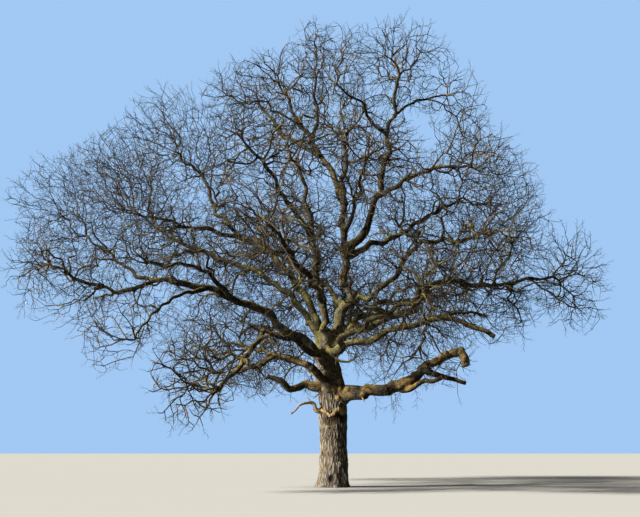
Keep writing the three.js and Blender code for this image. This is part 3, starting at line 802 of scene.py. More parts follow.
def dress_skin(mesh, limbs, settings):
    """Eases the forks of a skin, cuts the relief of the bark into it and keeps what its finish needs."""
    places = read_vectors(mesh.vertices, "co")
    gap = Setting(places, limbs).next_gap
    places = eased(mesh, places, EASE_SHARE * np.exp(-((np.maximum(gap, 0) / FORK_EASE) ** 2)), EASE_ROUNDS)
    write_places(mesh, places)
    normals = read_vectors(mesh.vertex_normals, "vector")
    setting = Setting(places, limbs)
    grain = np.column_stack([setting.across, setting.along])
    # Each limb has its own part of the pattern
    grain[:, 0] += np.array([1 + sum(map(ord, limb.name)) % 97 for limb in limbs], float)[setting.limb]
    furrows, sunk = bark_relief(grain, setting.radius, settings)
    dents, bare, dark = np.zeros((3, len(places)))
    is_trunk = limbs[0].name == "trunk"
    if is_trunk:
        dents, bare, dark = trunk_wounds(places, setting)
        sunk -= TRUNK_SWELL * (setting.limb == 0) * (1 - bare)
    places = places - normals * (sunk + dents)[:, None]
    places[:, 2] = np.maximum(places[:, 2], 0)
    write_places(mesh, places)

    patches = noise(places * 1.7, 51)
    moss = by_bough(MOSS, USUAL_MOSS, limbs, setting)
    moss = moss * smoothstep(0.05, 0.75, normals @ MOSSY_SIDE + 0.5 * (patches - 0.5))
    moss = moss * smoothstep(0.2, 0.6, patches + 0.25)
    # Ochre algae only on the side that faces the key light: partly painted sunlight
    ochre = by_bough(OCHRE, USUAL_OCHRE, limbs, setting)
    ochre = ochre * smoothstep(0.3, 0.52, noise(places * 2.3, 61))
    ochre = ochre * smoothstep(-0.05, 0.55, normals @ SUNNY_SIDE)
    bough = 1 - by_bough(PALE, 0, limbs, setting)
    if is_trunk:
        ochre = np.maximum(ochre, knobs(places))
        beyond = setting.along - np.array([limb.seat for limb in limbs])[setting.limb]
        bough *= (setting.limb > 0) * smoothstep(0, 0.6, beyond)
    # The hollows' painted shade goes in with the furrows, which the finish paints nearly black
    furrows = np.maximum(furrows, dark * 1.45)
    moss = moss * (1 - 0.6 * furrows)
    store(mesh, grain=grain, furrow=furrows, moss=moss, ochre=ochre, bare=bare, bough=bough)


class Graph:
    """Makes the nodes of a tree."""

    def __init__(self, tree):
        self.tree = tree

    def node(self, kind, settings=None, sockets=None):
        """A node of a type, with its settings, and then values or links in its sockets. A socket goes by its
        identifier, its name or its number."""
        made = self.tree.nodes.new(kind)
        for name, value in (settings or {}).items():
            setattr(made, name, value)
        for key, value in (sockets or {}).items():
            socket = self.socket(made.inputs, key)
            value = value.socket if isinstance(value, Value) else value
            if isinstance(value, bpy.types.NodeSocket):
                self.tree.links.new(value, socket)
            else:
                socket.default_value = value
        return made

    def output(self, kind, settings=None, sockets=None):
        """The first output of such a node."""
        return self.node(kind, settings, sockets).outputs[0]

    def shown_and_lit(self, kind, seen, lit):
        """A shader with some values where the camera sees it, and others where it lights the tree."""
        view = self.node("ShaderNodeLightPath").outputs["Is Camera Ray"]
        back, front = [self.output(kind, None, sockets) for sockets in (lit, seen)]
        return self.output("ShaderNodeMixShader", None, {0: view, 1: back, 2: front})

    def named(self, name, kind="FLOAT"):
        """A named attribute of the geometry."""
        node = self.node("GeometryNodeInputNamedAttribute", {"data_type": kind}, {"Name": name})
        return node.outputs["Attribute"]

    @staticmethod
    def socket(sockets, key):
        """The socket that has this number, identifier or name."""
        if isinstance(key, int):
            return sockets[key]
        for socket in sockets:
            if socket.identifier == key:
                return socket
        return next(socket for socket in sockets if socket.name == key)


class Value:
    """A number in a node tree, so that sums and products of such numbers are written as in Python."""

    def __init__(self, graph, socket):
        self.graph = graph
        self.socket = socket

    def maths(self, operation, *terms):
        """The result of a Math node on these terms."""
        sockets = dict(enumerate(terms))
        return Value(self.graph, self.graph.output("ShaderNodeMath", {"operation": operation}, sockets))

    def __add__(self, other):
        return self.maths("ADD", self, other)

    __radd__ = __add__

    def __sub__(self, other):
        return self.maths("SUBTRACT", self, other)

    def __rsub__(self, other):
        return self.maths("SUBTRACT", other, self)

    def __mul__(self, other):
        return self.maths("MULTIPLY", self, other)

    __rmul__ = __mul__

    def step(self, low, high):
        """0 below low, 1 above high, and a smooth step between."""
        settings = {"interpolation_type": "SMOOTHSTEP"}
        sockets = {"Value": self, "From Min": low, "From Max": high}
        return Value(self.graph, self.graph.node("ShaderNodeMapRange", settings, sockets).outputs["Result"])


class Finish(Graph):
    """A new material's node tree, with the few nodes that the finishes share."""

    def __init__(self, name):
        self.material = bpy.data.materials.new(name)
        self.material.use_nodes = True
        super().__init__(self.material.node_tree)
        self.tree.nodes.clear()

    def attribute(self, name):
        """A vertex attribute, as a node."""
        return self.node("ShaderNodeAttribute", {"attribute_name": name})

    def level(self, name):
        """A vertex attribute's number."""
        return Value(self, self.attribute(name).outputs["Fac"])

    def stretched(self, vector, scale):
        """A vector with its parts scaled."""
        return self.output("ShaderNodeVectorMath", {"operation": "MULTIPLY"}, {0: vector, 1: scale})

    def speckle(self, vector, scale, detail=3.0, roughness=0.55):
        """Noise from 0 to 1 on a vector."""
        sockets = {"Vector": vector, "Scale": scale, "Detail": detail, "Roughness": roughness}
        return Value(self, self.node("ShaderNodeTexNoise", None, sockets).outputs["Fac"])

    def mix(self, share, one, other):
        """A colour between two."""
        one = one if isinstance(one, bpy.types.NodeSocket) else (*one, 1)
        other = other if isinstance(other, bpy.types.NodeSocket) else (*other, 1)
        settings = {"data_type": "RGBA", "clamp_factor": True}
        sockets = {"Factor_Float": share, "A_Color": one, "B_Color": other}
        return Graph.socket(self.node("ShaderNodeMix", settings, sockets).outputs, "Result_Color")

    def bump(self, height, distance):
        """A normal from a height."""
        return self.node("ShaderNodeBump", None, {"Height": height, "Distance": distance}).outputs["Normal"]

    def finished(self, colour, roughness, normal, glint):
        """Ends the tree in a surface shader and gives the material."""
        sockets = {"Base Color": colour, "Roughness": roughness, "Normal": normal}
        sockets["Specular IOR Level"] = glint
        shader = self.output("ShaderNodeBsdfPrincipled", None, sockets)
        self.node("ShaderNodeOutputMaterial", None, {"Surface": shader})
        return self.material


def bark_finish(name, settings):
    """Furrowed bark, from the trunk's colours to the boughs', with moss, ochre algae and bare wood where the
    attributes of the skin put them. The furrows and the old wounds' hollows are painted nearly black, a
    painted shade, and the ochre on the side that faces the key light is partly a painted sunlit tone."""
    finish = Finish(name)
    bough = finish.level("bough")
    dark = finish.mix(bough, settings.trunk_dark, settings.limb_dark)
    pale = finish.mix(bough, settings.trunk_pale, settings.limb_pale)
    grain = finish.attribute("grain").outputs["Vector"]
    fibres = finish.speckle(finish.stretched(grain, (1, 1, 0.16)), 38, 4, 0.7)
    blotches = finish.speckle(grain, 1.6, 3)
    furrow = finish.level("furrow")
    # Darker towards the furrows and nearly black in them: painted shade in the bark's creases and hollows
    colour = finish.mix((blotches * 0.45 + fibres * 0.75 - furrow * 0.15).step(0.35, 0.85), dark, pale)
    colour = finish.mix(furrow * 0.7, colour, settings.furrow_shade_colour)
    lichen = finish.speckle(grain, 9, 5, 0.7).step(0.6, 0.72) * (1 - furrow)
    colour = finish.mix(lichen * 0.45, colour, settings.lichen_colour)
    # Ochre where the skin puts it; on the side that faces the key light it is partly a painted sunlit tone
    ochre = finish.level("ochre") * finish.speckle(grain, 5, 4).step(0.3, 0.6)
    colour = finish.mix(ochre, colour, settings.ochre_and_sunlit_colour)
    tufts = finish.speckle(grain, 26, 4, 0.7)
    moss = (finish.level("moss") * 1.25 + tufts * 0.5 - 0.35).step(0.05, 0.6)
    green = finish.mix(tufts.step(0.35, 0.7), settings.moss_shade, settings.moss_colour)
    colour = finish.mix(moss, colour, green)
    bare = (finish.level("bare") + fibres * 0.25 - 0.12).step(0.2, 0.7)
    wood = finish.mix(fibres, settings.wood_shade, settings.wood_colour)
    colour = finish.mix(bare, colour, wood)
    height = fibres * 0.9 + tufts * moss * 0.7 - furrow * 0.3
    normal = finish.bump(height, 0.016)
    return finish.finished(colour, 0.84 + fibres * 0.12, normal, 0.25)


@functools.cache
def bark_material(kind):
    """The finish of the trunk or of the boughs."""
    return bark_finish(f"{kind}_bark", bpy.context.scene.oak_bark)


def settle(piece, nodes, material=None):
    """Puts a finished piece on the body and in place of its solids, in its material."""
    if material:
        piece.data.materials.append(material)
    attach(piece, "root")
    if nodes:
        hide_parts(*nodes)


def boughs_on_trunk():
    """The names of the limbs that grow from the trunk itself."""
    return [row.name for row in LIMBS if row.on == "trunk"]


def a_colour(name, description, default):
    """A colour that a user can change."""
    return FloatVectorProperty(name=name, description=description, default=default, subtype="COLOR")


def a_length(name, description, default):
    """A length that a user can change, in metres."""
    return FloatProperty(name=name, description=description, default=default, unit="LENGTH")


def a_number(name, description, default):
    """A number that a user can change."""
    return FloatProperty(name=name, description=description, default=default)


class OakBark(bpy.types.PropertyGroup):
    """Sizes and colours of the bark."""

    trunk_grid: a_length("Trunk grid", "Size of the faces that the trunk's skin is made of", 0.0235)
    limb_grid: a_length("Limb grid", "Size of the faces that the boughs' skin is made of", 0.035)
    furrow_width: a_length("Furrow spacing", "From furrow to furrow round the trunk", 0.062)
    furrow_depth: a_length("Furrow depth", "Depth of the furrows in the trunk's bark", 0.024)
    trunk_pale: a_colour("Trunk ridges", "Weathered ridges of the trunk's bark", (0.5, 0.44, 0.345))
    trunk_dark: a_colour("Trunk sides", "Flanks of the ridges of the trunk's bark", (0.12, 0.103, 0.08))
    limb_pale: a_colour("Limb ridges", "Ridges of the boughs' bark", (0.15, 0.122, 0.08))
    limb_dark: a_colour("Limb sides", "Flanks of the boughs' bark", (0.022, 0.0175, 0.012))
    # Painted shade: the nearly black bottom of the furrows and of the wounds' hollows
    furrow_shade_colour: a_colour("Furrows", "Bottom of the furrows", (0.02, 0.0155, 0.012))
    lichen_colour: a_colour("Lichen", "Grey lichen on the ridges", (0.36, 0.37, 0.3))
    # Partly painted sunlight: on the boughs the ochre is laid on the side that faces the key light
    ochre_and_sunlit_colour: a_colour("Algae", "Ochre algae on the low boughs", (0.45, 0.29, 0.1))
    moss_colour: a_colour("Moss tips", "Yellow-green tips of the moss", (0.26, 0.235, 0.055))
    moss_shade: a_colour("Moss shade", "Depth of the moss", (0.075, 0.072, 0.018))
    wood_colour: a_colour("Bare wood", "Weathered wood without bark", (0.5, 0.36, 0.2))
    wood_shade: a_colour("Bare wood grain", "Dark grain of the bare wood", (0.24, 0.15, 0.075))


class OAK_OT_trunk(bpy.types.Operator):
    """Adds the trunk with its root flare and the feet of the boughs that grow from it"""

    bl_idname = "oak.trunk"
    bl_label = "Trunk"

    def execute(self, context):
        settings = context.scene.oak_bark
        laid = lay_out()
        boughs = [laid[name] for name in boughs_on_trunk()]
        snags = [laid["mossy_stub"], laid["fork_snag"]]
        forms = [tube(laid["trunk"], sides=TRUNK_SIDES, below=TRUNK_SUNK)]
        forms.extend(tube(limb, last=limb.seat + STUB_RUN, shrink_end=STUB_SHRINK) for limb in boughs)
        forms.extend(tube(limb) for limb in snags)
        forms.append(strand(ridge_places(), [radius for *_, radius in RIDGE]))
        piece = fused(forms + trunk_bosses(), settings.trunk_grid, "trunk_and_forks")
        dress_skin(piece.data, [laid["trunk"], *boughs, *snags], settings)
        settle(piece, ["trunk"], bark_material("trunk"))
        return {"FINISHED"}


def trunk_bosses():
    """Burrs and knots on the trunk and on the feet of its boughs."""
    forms = []
    for bearing, height, size in TRUNK_BURRS:
        forms.append(boss(on_trunk(bearing, height, -0.02), (size, size * 0.8, size * 1.1), bearing))
    for name in boughs_on_trunk():
        forms.extend(bough_bosses(name, 0, lay_out()[name].seat + STUB_RUN - STUB_OVERLAP / 2))
    return forms


def bough_bosses(name, first, last):
    """Burrs on a bough between two distances from its foot."""
    limb = lay_out()[name]
    forms = []
    for distance, bearing, climb, size in BOUGH_BURRS.get(name, []):
        if first <= distance < last:
            centre = limb.middle(distance) + heading(bearing, climb) * (float(limb.radius(distance)) * 0.8)
            forms.append(boss(centre, (size, size, size * 0.85)))
    return forms


def bough_forms(limb):
    """The closed forms of a bough or a prong. The skin of a bough on the trunk starts inside the trunk's."""
    if limb.name != limb.bough:
        return [tube(limb)]
    start = limb.seat + STUB_RUN - STUB_OVERLAP if limb.name in boughs_on_trunk() else 0
    forms = [tube(limb, start, shrink_start=BOUGH_SHRINK if start else 1)]
    forms.extend(bough_bosses(limb.name, start + STUB_OVERLAP / 2 if start else 0, limb.line.length))
    return forms + collars(limb)


class OAK_OT_boughs(bpy.types.Operator):
    """Adds the boughs, skinned in three groups with their forks"""

    bl_idname = "oak.boughs"
    bl_label = "Boughs"

    def execute(self, context):
        settings = context.scene.oak_bark
        rest = [row.name for row in LIMBS if row.name not in LEFT_BOUGHS + RIGHT_BOUGHS]
        groups = {"boughs_left": LEFT_BOUGHS, "boughs_right": RIGHT_BOUGHS, "boughs_centre": rest}
        for title, names in groups.items():
            parted = [limb for limb in lay_out().values() if limb.bough in names]
            limbs = sorted(parted, key=lambda limb: names.index(limb.bough))
            forms = [form for limb in limbs for form in bough_forms(limb)]
            piece = fused(forms, settings.limb_grid, title)
            dress_skin(piece.data, limbs, settings)
            settle(piece, names, bark_material("limb"))
        return {"FINISHED"}


COLLARED = 0.024  # a side bough with a thicker foot swells out of its limb
COLLAR_SWELL = 0.9
SWELL_RUN = 0.14


def collars(limb):
    """Where the stout side boughs of a limb swell out of it."""
    forms = []
    for growth in grow_crown()[1]:
        if growth.limb is not limb:
            continue
        for places, radii in growth.chains():
            if growth.starts_on_limb(places[0]) and radii[1] > COLLARED and len(places) > 3:
                reach = float(limb.radii[np.linalg.norm(limb.places - places[0], axis=1).argmin()])
                out = np.linalg.norm(places[:4] - places[0], axis=1) - reach
                girths = radii[1] * (1 + COLLAR_SWELL * np.exp(-np.maximum(out, 0) / SWELL_RUN))
                girths[-1] = radii[3] * 0.9
                forms.append(strand(places[:4], np.minimum(girths, reach * 0.8), 7))
    return forms


class Space:
    """The space of a mass of twigs: an ellipsoid from behind its stem's foot to its furthest tip."""

    def __init__(self, limb):
        run, bearing, climb, girth = limb.crown
        self.name = f"{limb.name}_twigs"
        self.foot = limb.line.at(limb.line.length)
        self.way = limb.line.way(limb.line.length)
        self.axis = heading(bearing, climb)
        self.far = self.foot + self.axis * run
        self.girth = girth
        self.centre = self.foot + self.axis * run * (1 - SPACE_BACK) / 2
        self.half = run * (1 + SPACE_BACK) / 2
        self.stem = limb.thin

    def reach(self, places):
        """How far places lie out from the middle, where 1 is the outside of the space."""
        off = places - self.centre
        along = off @ self.axis
        across = np.linalg.norm(off - along[..., None] * self.axis, axis=-1)
        return np.hypot(along / self.half, across / self.girth)

    def buds(self, random, more):
        """Places spread evenly through the space: the ones of the solid first, then more of the sequence."""
        side = unit(np.cross([0, 0, 1.0], self.axis))
        up = np.cross(self.axis, side)
        starts = np.array([random() for _ in BUD_SPREAD])
        # Half up, as the solids round
        count = math.floor(4 * math.pi * self.half * self.girth / BUD_SPACING**2 + 0.5)
        terms = np.arange(count * more)[:, None]
        level, turn, out = ((starts + terms * BUD_SPREAD) % 1).T
        share = out**OUTER_BUDS
        rise = 2 * level - 1
        ring = np.sqrt(1 - rise**2)
        buds = self.centre + np.outer(share * rise * self.half, self.axis)
        buds += np.outer(share * ring * np.cos(2 * math.pi * turn) * self.girth, side)
        buds += np.outer(share * ring * np.sin(2 * math.pi * turn) * self.girth, up)
        return np.vstack([self.far, buds[:count]]), buds[count:]


def fullness(spaces, places):
    """How full of twigs places are: 1 on the outside of a space on its own, and more where spaces meet, so
    that the notches between them fill in."""
    return sum(np.exp(2 * (1 - space.reach(places) ** 2)) for space in spaces)


class Bounds:
    """What keeps a mass's twigs in its own space and all twigs off the limbs."""

    def __init__(self, spaces, limbs):
        self.feet = np.array([space.foot for space in spaces])
        self.runs = np.array([space.far - space.foot for space in spaces])
        self.girths = np.array([space.girth for space in spaces])
        steps = [np.arange(0, limb.line.length + 1e-9, LIMB_PLACES) for limb in limbs]
        self.places = np.vstack([limb.line.at(run) for limb, run in zip(limbs, steps)])
        self.radii = np.concatenate([
            np.full(len(run), limb.thick) if limb.name == "trunk" else limb.radius(run)
            for limb, run in zip(limbs, steps)
        ])
        self.owners = np.repeat(np.arange(len(limbs)), [len(run) for run in steps])

    def near(self, centre, reach):
        """The numbers of the limb places that can matter within a reach of a centre."""
        return np.flatnonzero(np.linalg.norm(self.places - centre, axis=1) < reach + self.radii)

    def clear(self, near, margin, places):
        """Whether places are further than a margin from the bark of the limbs at the near places."""
        apart = np.linalg.norm(places[:, None] - self.places[near], axis=2)
        return (apart > self.radii[near] + margin).all(axis=1)

    def owned(self, i, border, places):
        """Whether places belong to a space rather than to another."""
        off = places[:, None] - self.feet
        along = np.clip((off * self.runs).sum(axis=2) / (self.runs**2).sum(axis=1), 0, 1)
        shares = np.linalg.norm(off - along[..., None] * self.runs, axis=2) / self.girths
        own = shares[:, i] + border
        shares[:, i] = np.inf
        return own < shares.min(axis=1)

    def nearest(self, places):
        """The number of the limb whose middle is the nearest to each place, and how far it is."""
        owners = np.zeros(len(places), int)
        gaps = np.zeros(len(places))
        for part in np.array_split(np.arange(len(places)), len(places) // AT_A_TIME + 1):
            apart = np.linalg.norm(places[part, None] - self.places, axis=2)
            closest = apart.argmin(axis=1)
            owners[part] = self.owners[closest]
            gaps[part] = apart.min(axis=1)
        return owners, gaps


class Shoots:
    """Shoots, each with a place, a way, the path from its root and the number of the shoot that it grows on
    from. A root grows on from none."""

    def __init__(self):
        self.at = []
        self.way = []
        self.path = []
        self.bearer = []

    def put(self, *shoot):
        """Keeps a shoot's place, way, path and bearer, and gives its number."""
        for values, value in zip((self.at, self.way, self.path, self.bearer), shoot):
            values.append(value)
        return len(self.at) - 1


    def root(self, at, way):
        """Sets a root and gives its number."""
        return self.put(at, way, 0.0, -1)

    def add(self, at, bearer):
        """Grows a shoot to a place and gives its number."""
        off = at - self.at[bearer]
        reach = math.sqrt(off @ off)
        return self.put(at, off / reach, self.path[bearer] + reach, bearer)

    def extend(self, buds, allowed, starts, turn_cost=TURN_COST):
        """Gives each bud a shoot from the shoot where it costs least, the cheapest first. A turn back and a
        long way from the foot cost extra, and a shoot that isn't allowed is skipped."""
        cost = np.full(len(buds), np.inf)
        source = np.zeros(len(buds), int)
        waiting = np.ones(len(buds), bool)

        def offer(k):
            off = buds - self.at[k]
            gap = np.sqrt((off * off).sum(axis=1))
            offered = gap * (1 + turn_cost) - turn_cost * (off @ self.way[k]) + PATH_COST * self.path[k]
            cheaper = waiting & (offered < cost)
            cost[cheaper] = offered[cheaper]
            source[cheaper] = k

        for k in starts:
            offer(k)
        shares = np.array([[0.25], [0.5], [0.75]])
        for _ in range(len(buds)):
            bud = int(cost.argmin())
            waiting[bud] = False
            cost[bud] = np.inf
            at, bearer = buds[bud], int(source[bud])
            if allowed(self.at[bearer] + (at - self.at[bearer]) * shares).all():
                offer(self.add(at, bearer))

    def refined(self, step, random):
        """The same shoots in shorter steps, on bent and crooked ways."""
        fine = Shoots()
        numbers = {}
        for k, bearer in enumerate(self.bearer):
            if bearer < 0:
                numbers[k] = fine.root(self.at[k], self.way[k])
                continue
            start, end = self.at[bearer], self.at[k]
            reach = float(np.linalg.norm(end - start))
            count = max(1, round(reach / step))
            leave = unit(self.way[bearer] * 0.8 + self.way[k]) * reach
            arrive = self.way[k] * reach
            bends = random.normal(size=(3, 3)) * BENDS[:, None] * reach
            number = numbers[bearer]
            for i in range(1, count + 1):
                u = i / count
                at = curved(start, end, leave, arrive, u) + np.sin(math.pi * u * BEND_WAVES) @ bends
                crook = random.normal(size=3) * CROOKEDNESS * step * (i < count)
                number = fine.add(at + crook, number)
            numbers[k] = number
        return fine


class Growth:
    """Shoots that have grown, as arrays, with what each bears, its tips and its radius."""

    def __init__(self, shoots, thinnest, gauge, taper, caps=None, limb=None):
        self.limb = limb
        self.at = np.array(shoots.at)
        self.way = np.array(shoots.way)
        self.bearer = np.array(shoots.bearer)
        count = len(self.at)
        self.borne = [[] for _ in range(count)]
        for k in np.flatnonzero(self.bearer >= 0):
            self.borne[self.bearer[k]].append(int(k))
        self.tips = np.zeros(count, int)
        for k in range(count - 1, -1, -1):
            self.tips[k] = max(1, sum(self.tips[i] for i in self.borne[k]))
        share = self.tips / self.tips[0] if caps is None else self.tips
        self.radius = np.maximum(thinnest, gauge * share**taper)
        if caps is not None:
            # A side bough is never stouter than a share of the limb that bears it
            most = np.array(caps)
            for k in np.flatnonzero(self.bearer >= 0):
                most[k] = most[self.bearer[k]]
            self.radius = np.minimum(self.radius, np.maximum(most, thinnest))

    def starts_on_limb(self, place):
        """Whether a twig that starts at this place is rooted in the limb itself."""
        roots = self.at[self.bearer < 0]
        return bool((np.abs(roots - place).max(axis=1) < 1e-9).any())

    def chains(self):
        """The twigs as runs of shoots: the shoot with the most tips carries a twig on at each fork, and each
        other one starts a new twig, rooted a little behind the fork."""
        waiting = []
        for root in np.flatnonzero(self.bearer < 0):
            if self.limb:
                waiting.extend((self.at[root], k) for k in self.borne[root])
            else:
                waiting.append((None, int(root)))
        while waiting:
            start, first = waiting.pop()
            chain = [first]
            while self.borne[chain[-1]]:
                fork = chain[-1]
                main, *rest = sorted(self.borne[fork], key=lambda k: -self.tips[k])
                for side in rest:
                    behind = self.bearer[fork] if self.bearer[fork] >= 0 else fork
                    back = self.at[fork] + (self.at[behind] - self.at[fork]) * FORK_BACK
                    waiting.append((back, side))
                chain.append(main)
            places = self.at[chain]
            radii = self.radius[chain]
            if start is not None:
                places = np.vstack([start, places])
                radii = np.concatenate([radii[:1] * 1.25, radii])
            yield places, radii


# Seeds: one for each mass as in the solids, and the first of a run of seeds for each other use
MASS_SEED = 101
REFINED_SEED = 500
ROOTS_SEED = 600
SLEEVE_SEED = 700
SPUR_SEED = 900
SIDE_SPRAY_SEED = 1300
PATCH_SEED = 300

# Finer twigs
FINER_STEP = 0.28
FINER_TURN_COST = 0.45
CROOKEDNESS = 0.17
BEND_WAVES = np.array([1, 2, 3])
BENDS = np.array([0.05, 0.05, 0.04])
CLEAR_OF_BARK = 0.03
SIDE_LEAN = 0.5
SIDE_BOUGH_SHARE = 0.6
BUD_SPRAWL = 0.4
PATCH_SCALE = 1.15
OPEN_PATCHES = 0.34
FULL_ENOUGH = 1.3  # side boughs stay out of places that the masses fill as much as this


def grow_mass(i, spaces, bounds, settings):
    """One mass of twigs by the rule of its solid, then finer by the same rule, open in patches and a little
    further out where masses meet."""
    space = spaces[i]
    near = bounds.near(space.centre, max(space.half, space.girth) + 1)

    def allowed(places):
        return bounds.owned(i, BORDER, places) & bounds.clear(near, LIMB_CLEARANCE, places)

    first, more = space.buds(seeded(MASS_SEED + i), settings.finer)
    shoots = Shoots()
    shoots.root(space.foot + space.way * SEAT_GAP, space.way)
    shoots.add(shoots.at[0] + space.way * STEM_RUN, 0)
    shoots.extend(first[allowed(first)], allowed, [1])
    fine = shoots.refined(FINER_STEP, np.random.default_rng(REFINED_SEED + i))
    more = space.centre + (more - space.centre) * settings.room
    kept = (space.reach(more) <= 1) | (fullness(spaces, more) > 1)
    kept &= noise(more * PATCH_SCALE, PATCH_SEED) > OPEN_PATCHES
    more = more[kept]

    def loosely(places):
        return bounds.owned(i, -BORDER / 2, places) & bounds.clear(near, CLEAR_OF_BARK, places)

    fine.extend(more[loosely(more)], loosely, range(2, len(fine.at)), FINER_TURN_COST)
    return Growth(fine, settings.thinnest, space.stem, settings.taper)


class Sleeve:
    """The room round a limb that its side boughs fill. It widens along the limb from a little way out."""

    def __init__(self, number, limb):
        self.number = number
        self.limb = limb
        self.start = limb.seat + SLEEVE_START
        roots = np.arange(limb.seat + 0.35, limb.line.length - 0.1, SIDE_BOUGH_SPACING)
        shift = np.random.default_rng(ROOTS_SEED + number).uniform(-0.35, 0.35, len(roots))
        self.roots = np.clip(roots + shift * SIDE_BOUGH_SPACING, 0, limb.line.length)

    def girth(self, distances):
        """How far the side boughs reach out at distances along the limb."""
        widest = SLEEVES.get(self.limb.bough, SLEEVE_GIRTH)
        return widest * smoothstep(self.start - 0.4, self.start + SLEEVE_GROWN, distances)

    def buds(self, density, random):
        """Places strewn evenly through the sleeve, this many in a cubic metre."""
        limb = self.limb
        steps = np.arange(self.start, limb.line.length, LIMB_PLACES)
        volumes = math.pi * self.girth(steps) ** 2 * LIMB_PLACES
        count = int(volumes.sum() * density)
        along = random.choice(steps, count, p=volumes / volumes.sum())
        along = along + random.uniform(0, LIMB_PLACES, count)
        ring = np.clip(np.searchsorted(limb.distances, along), 0, len(limb.distances) - 1)
        turn = random.uniform(0, 2 * math.pi, count)[:, None]
        out = np.sqrt(random.random(count)) * self.girth(along)
        across = limb.sides[ring] * np.cos(turn) + limb.ups[ring] * np.sin(turn)
        return limb.places[ring] + across * out[:, None] + limb.ways[ring] * (out * SIDE_LEAN)[:, None]


def grow_sleeve(sleeve, spaces, bounds, settings):
    """The side boughs and twigs of one limb, in the room round it that no mass fills."""
    limb = sleeve.limb
    random = np.random.default_rng(SLEEVE_SEED + sleeve.number)
    if len(sleeve.roots) < 2:
        return None
    buds = sleeve.buds(settings.side_boughs, random)
    owners, gaps = bounds.nearest(buds)
    kept = (owners == sleeve.number) & (gaps > limb.thick + CLEAR_OF_BARK) & (buds[:, 2] > LOWEST_TWIG)
    buds = buds[kept & (fullness(spaces, buds) < FULL_ENOUGH)]

    shoots = Shoots()
    for distance in sleeve.roots:
        shoots.root(limb.middle(distance), limb.line.way(distance))
    centre = limb.places.mean(axis=0)
    near = bounds.near(centre, np.linalg.norm(limb.places - centre, axis=1).max() + SLEEVE_GIRTH)
    near = near[bounds.owners[near] != sleeve.number]
    allowed = functools.partial(bounds.clear, near, CLEAR_OF_BARK)
    shoots.extend(buds, allowed, range(len(shoots.at)))
    fine = shoots.refined(FINER_STEP, random)
    stems = np.array(fine.at[len(sleeve.roots):])
    if len(stems):
        more = np.repeat(stems, settings.side_twigs, axis=0)
        more = more + random.normal(size=more.shape) * BUD_SPRAWL
        kept = (bounds.nearest(more)[1] > limb.thick + CLEAR_OF_BARK) & (more[:, 2] > LOWEST_TWIG)
        kept &= noise(more * PATCH_SCALE, PATCH_SEED) > OPEN_PATCHES
        fine.extend(more[kept], allowed, range(len(fine.at)), FINER_TURN_COST)
    most = np.zeros(len(fine.at))
    most[: len(sleeve.roots)] = SIDE_BOUGH_SHARE * limb.radius(sleeve.roots)
    return Growth(fine, settings.thinnest, settings.gauge, 0.5, most, limb)


@functools.cache
def grow_crown():
    """The spaces of the masses, and all that grows in them and in the sleeves, by the rule of the solids."""
    settings = bpy.context.scene.oak_twigs
    limbs = list(lay_out().values())
    spaces = [Space(limb) for limb in limbs if limb.crown]
    bounds = Bounds(spaces, limbs)
    growths = [grow_mass(i, spaces, bounds, settings) for i in range(len(spaces))]
    bare = ["trunk"] + [row.name for row in SNAGS]
    sleeves = [Sleeve(number, limb) for number, limb in enumerate(limbs) if limb.name not in bare]
    growths.extend(grow_sleeve(sleeve, spaces, bounds, settings) for sleeve in sleeves)
    return spaces, [growth for growth in growths if growth]


def mass_nodes():
    """The names of the masses' solids."""
    return [space.name for space in grow_crown()[0]]


# Side twigs of the boughs: how far apart and how often, their lengths, radii at foot and tip, steps, wander,
# and how much they lift or hang
SPUR_SPACING = 0.62
SPUR_CHANCE = 0.75
SPUR_LENGTHS = (0.6, 1.6)
SPUR_RADII = (0.013, 0.004)
SPUR_STEP = 0.28
SPUR_WANDER = 0.36
SPUR_LIFT = 0.35
SPUR_HANG = -0.5
SPURS_FROM = 0.9  # how far from its foot a bough has side twigs
CLEAR_OF_TRUNK = 1.9


def spurs():
    """Short side twigs along the boughs, and the ones that hang from the low boughs, as runs of places with
    radii. Each is drawn by a seed of its bough."""
    runs = []
    for number, row in enumerate(LIMBS):
        limb = lay_out()[row.name]
        random = np.random.default_rng(SPUR_SEED + number)
        start = CLEAR_OF_TRUNK if row.on == "trunk" else SPURS_FROM
        for distance in np.arange(start, limb.line.length, SPUR_SPACING):
            place = float(distance + random.uniform(-0.25, 0.25))
            if random.random() < SPUR_CHANCE:
                runs.append(spur(limb, place, random.uniform(*SPUR_LENGTHS), SPUR_LIFT, random))
        if row.name in HANGING:
            low, high, count, length = HANGING[row.name]
            for share in np.linspace(low, high, count):
                run = length * random.uniform(0.6, 1.2)
                runs.append(spur(limb, float(share) * limb.line.length, run, SPUR_HANG, random))
    return runs


def spur(limb, distance, length, lift, random):
    """One side twig from a bough: it leaves across the bough and bends up, or down where the lift is less
    than nothing."""
    distance = min(max(distance, 0.0), limb.line.length)
    along = limb.line.way(distance)
    out = sideways(along, random)
    if lift < 0:
        out[2] = -abs(out[2])
    way = unit(out + along * 0.5 + np.array([0, 0, lift]))
    places = [limb.middle(distance) + way * float(limb.radius(distance)) * 0.6]
    steps = max(3, round(length / SPUR_STEP))
    for _ in range(steps):
        way = unit(way + random.normal(size=3) * SPUR_WANDER + np.array([0, 0, lift * 0.35]))
        places.append(places[-1] + way * length / steps)
    return np.array(places), np.linspace(*SPUR_RADII, steps + 1)


def rods(name, chains, random):
    """A mesh of edges along runs of places, with each place's radius and each run's tint."""
    corners = np.vstack([places for places, _ in chains])
    sizes = [len(places) for places, _ in chains]
    starts = np.cumsum([0] + sizes[:-1])
    ends = set((starts + sizes - 1).tolist())
    edges = [(k, k + 1) for k in range(len(corners)) if k not in ends]
    mesh = bpy.data.meshes.new(name)
    mesh.from_pydata(corners.tolist(), edges, [])
    tint = random.integers(0, len(TINTS), len(chains))
    store(mesh, girth=np.concatenate([radii for _, radii in chains]), tint=np.repeat(tint, sizes))
    return new_object(name, mesh)


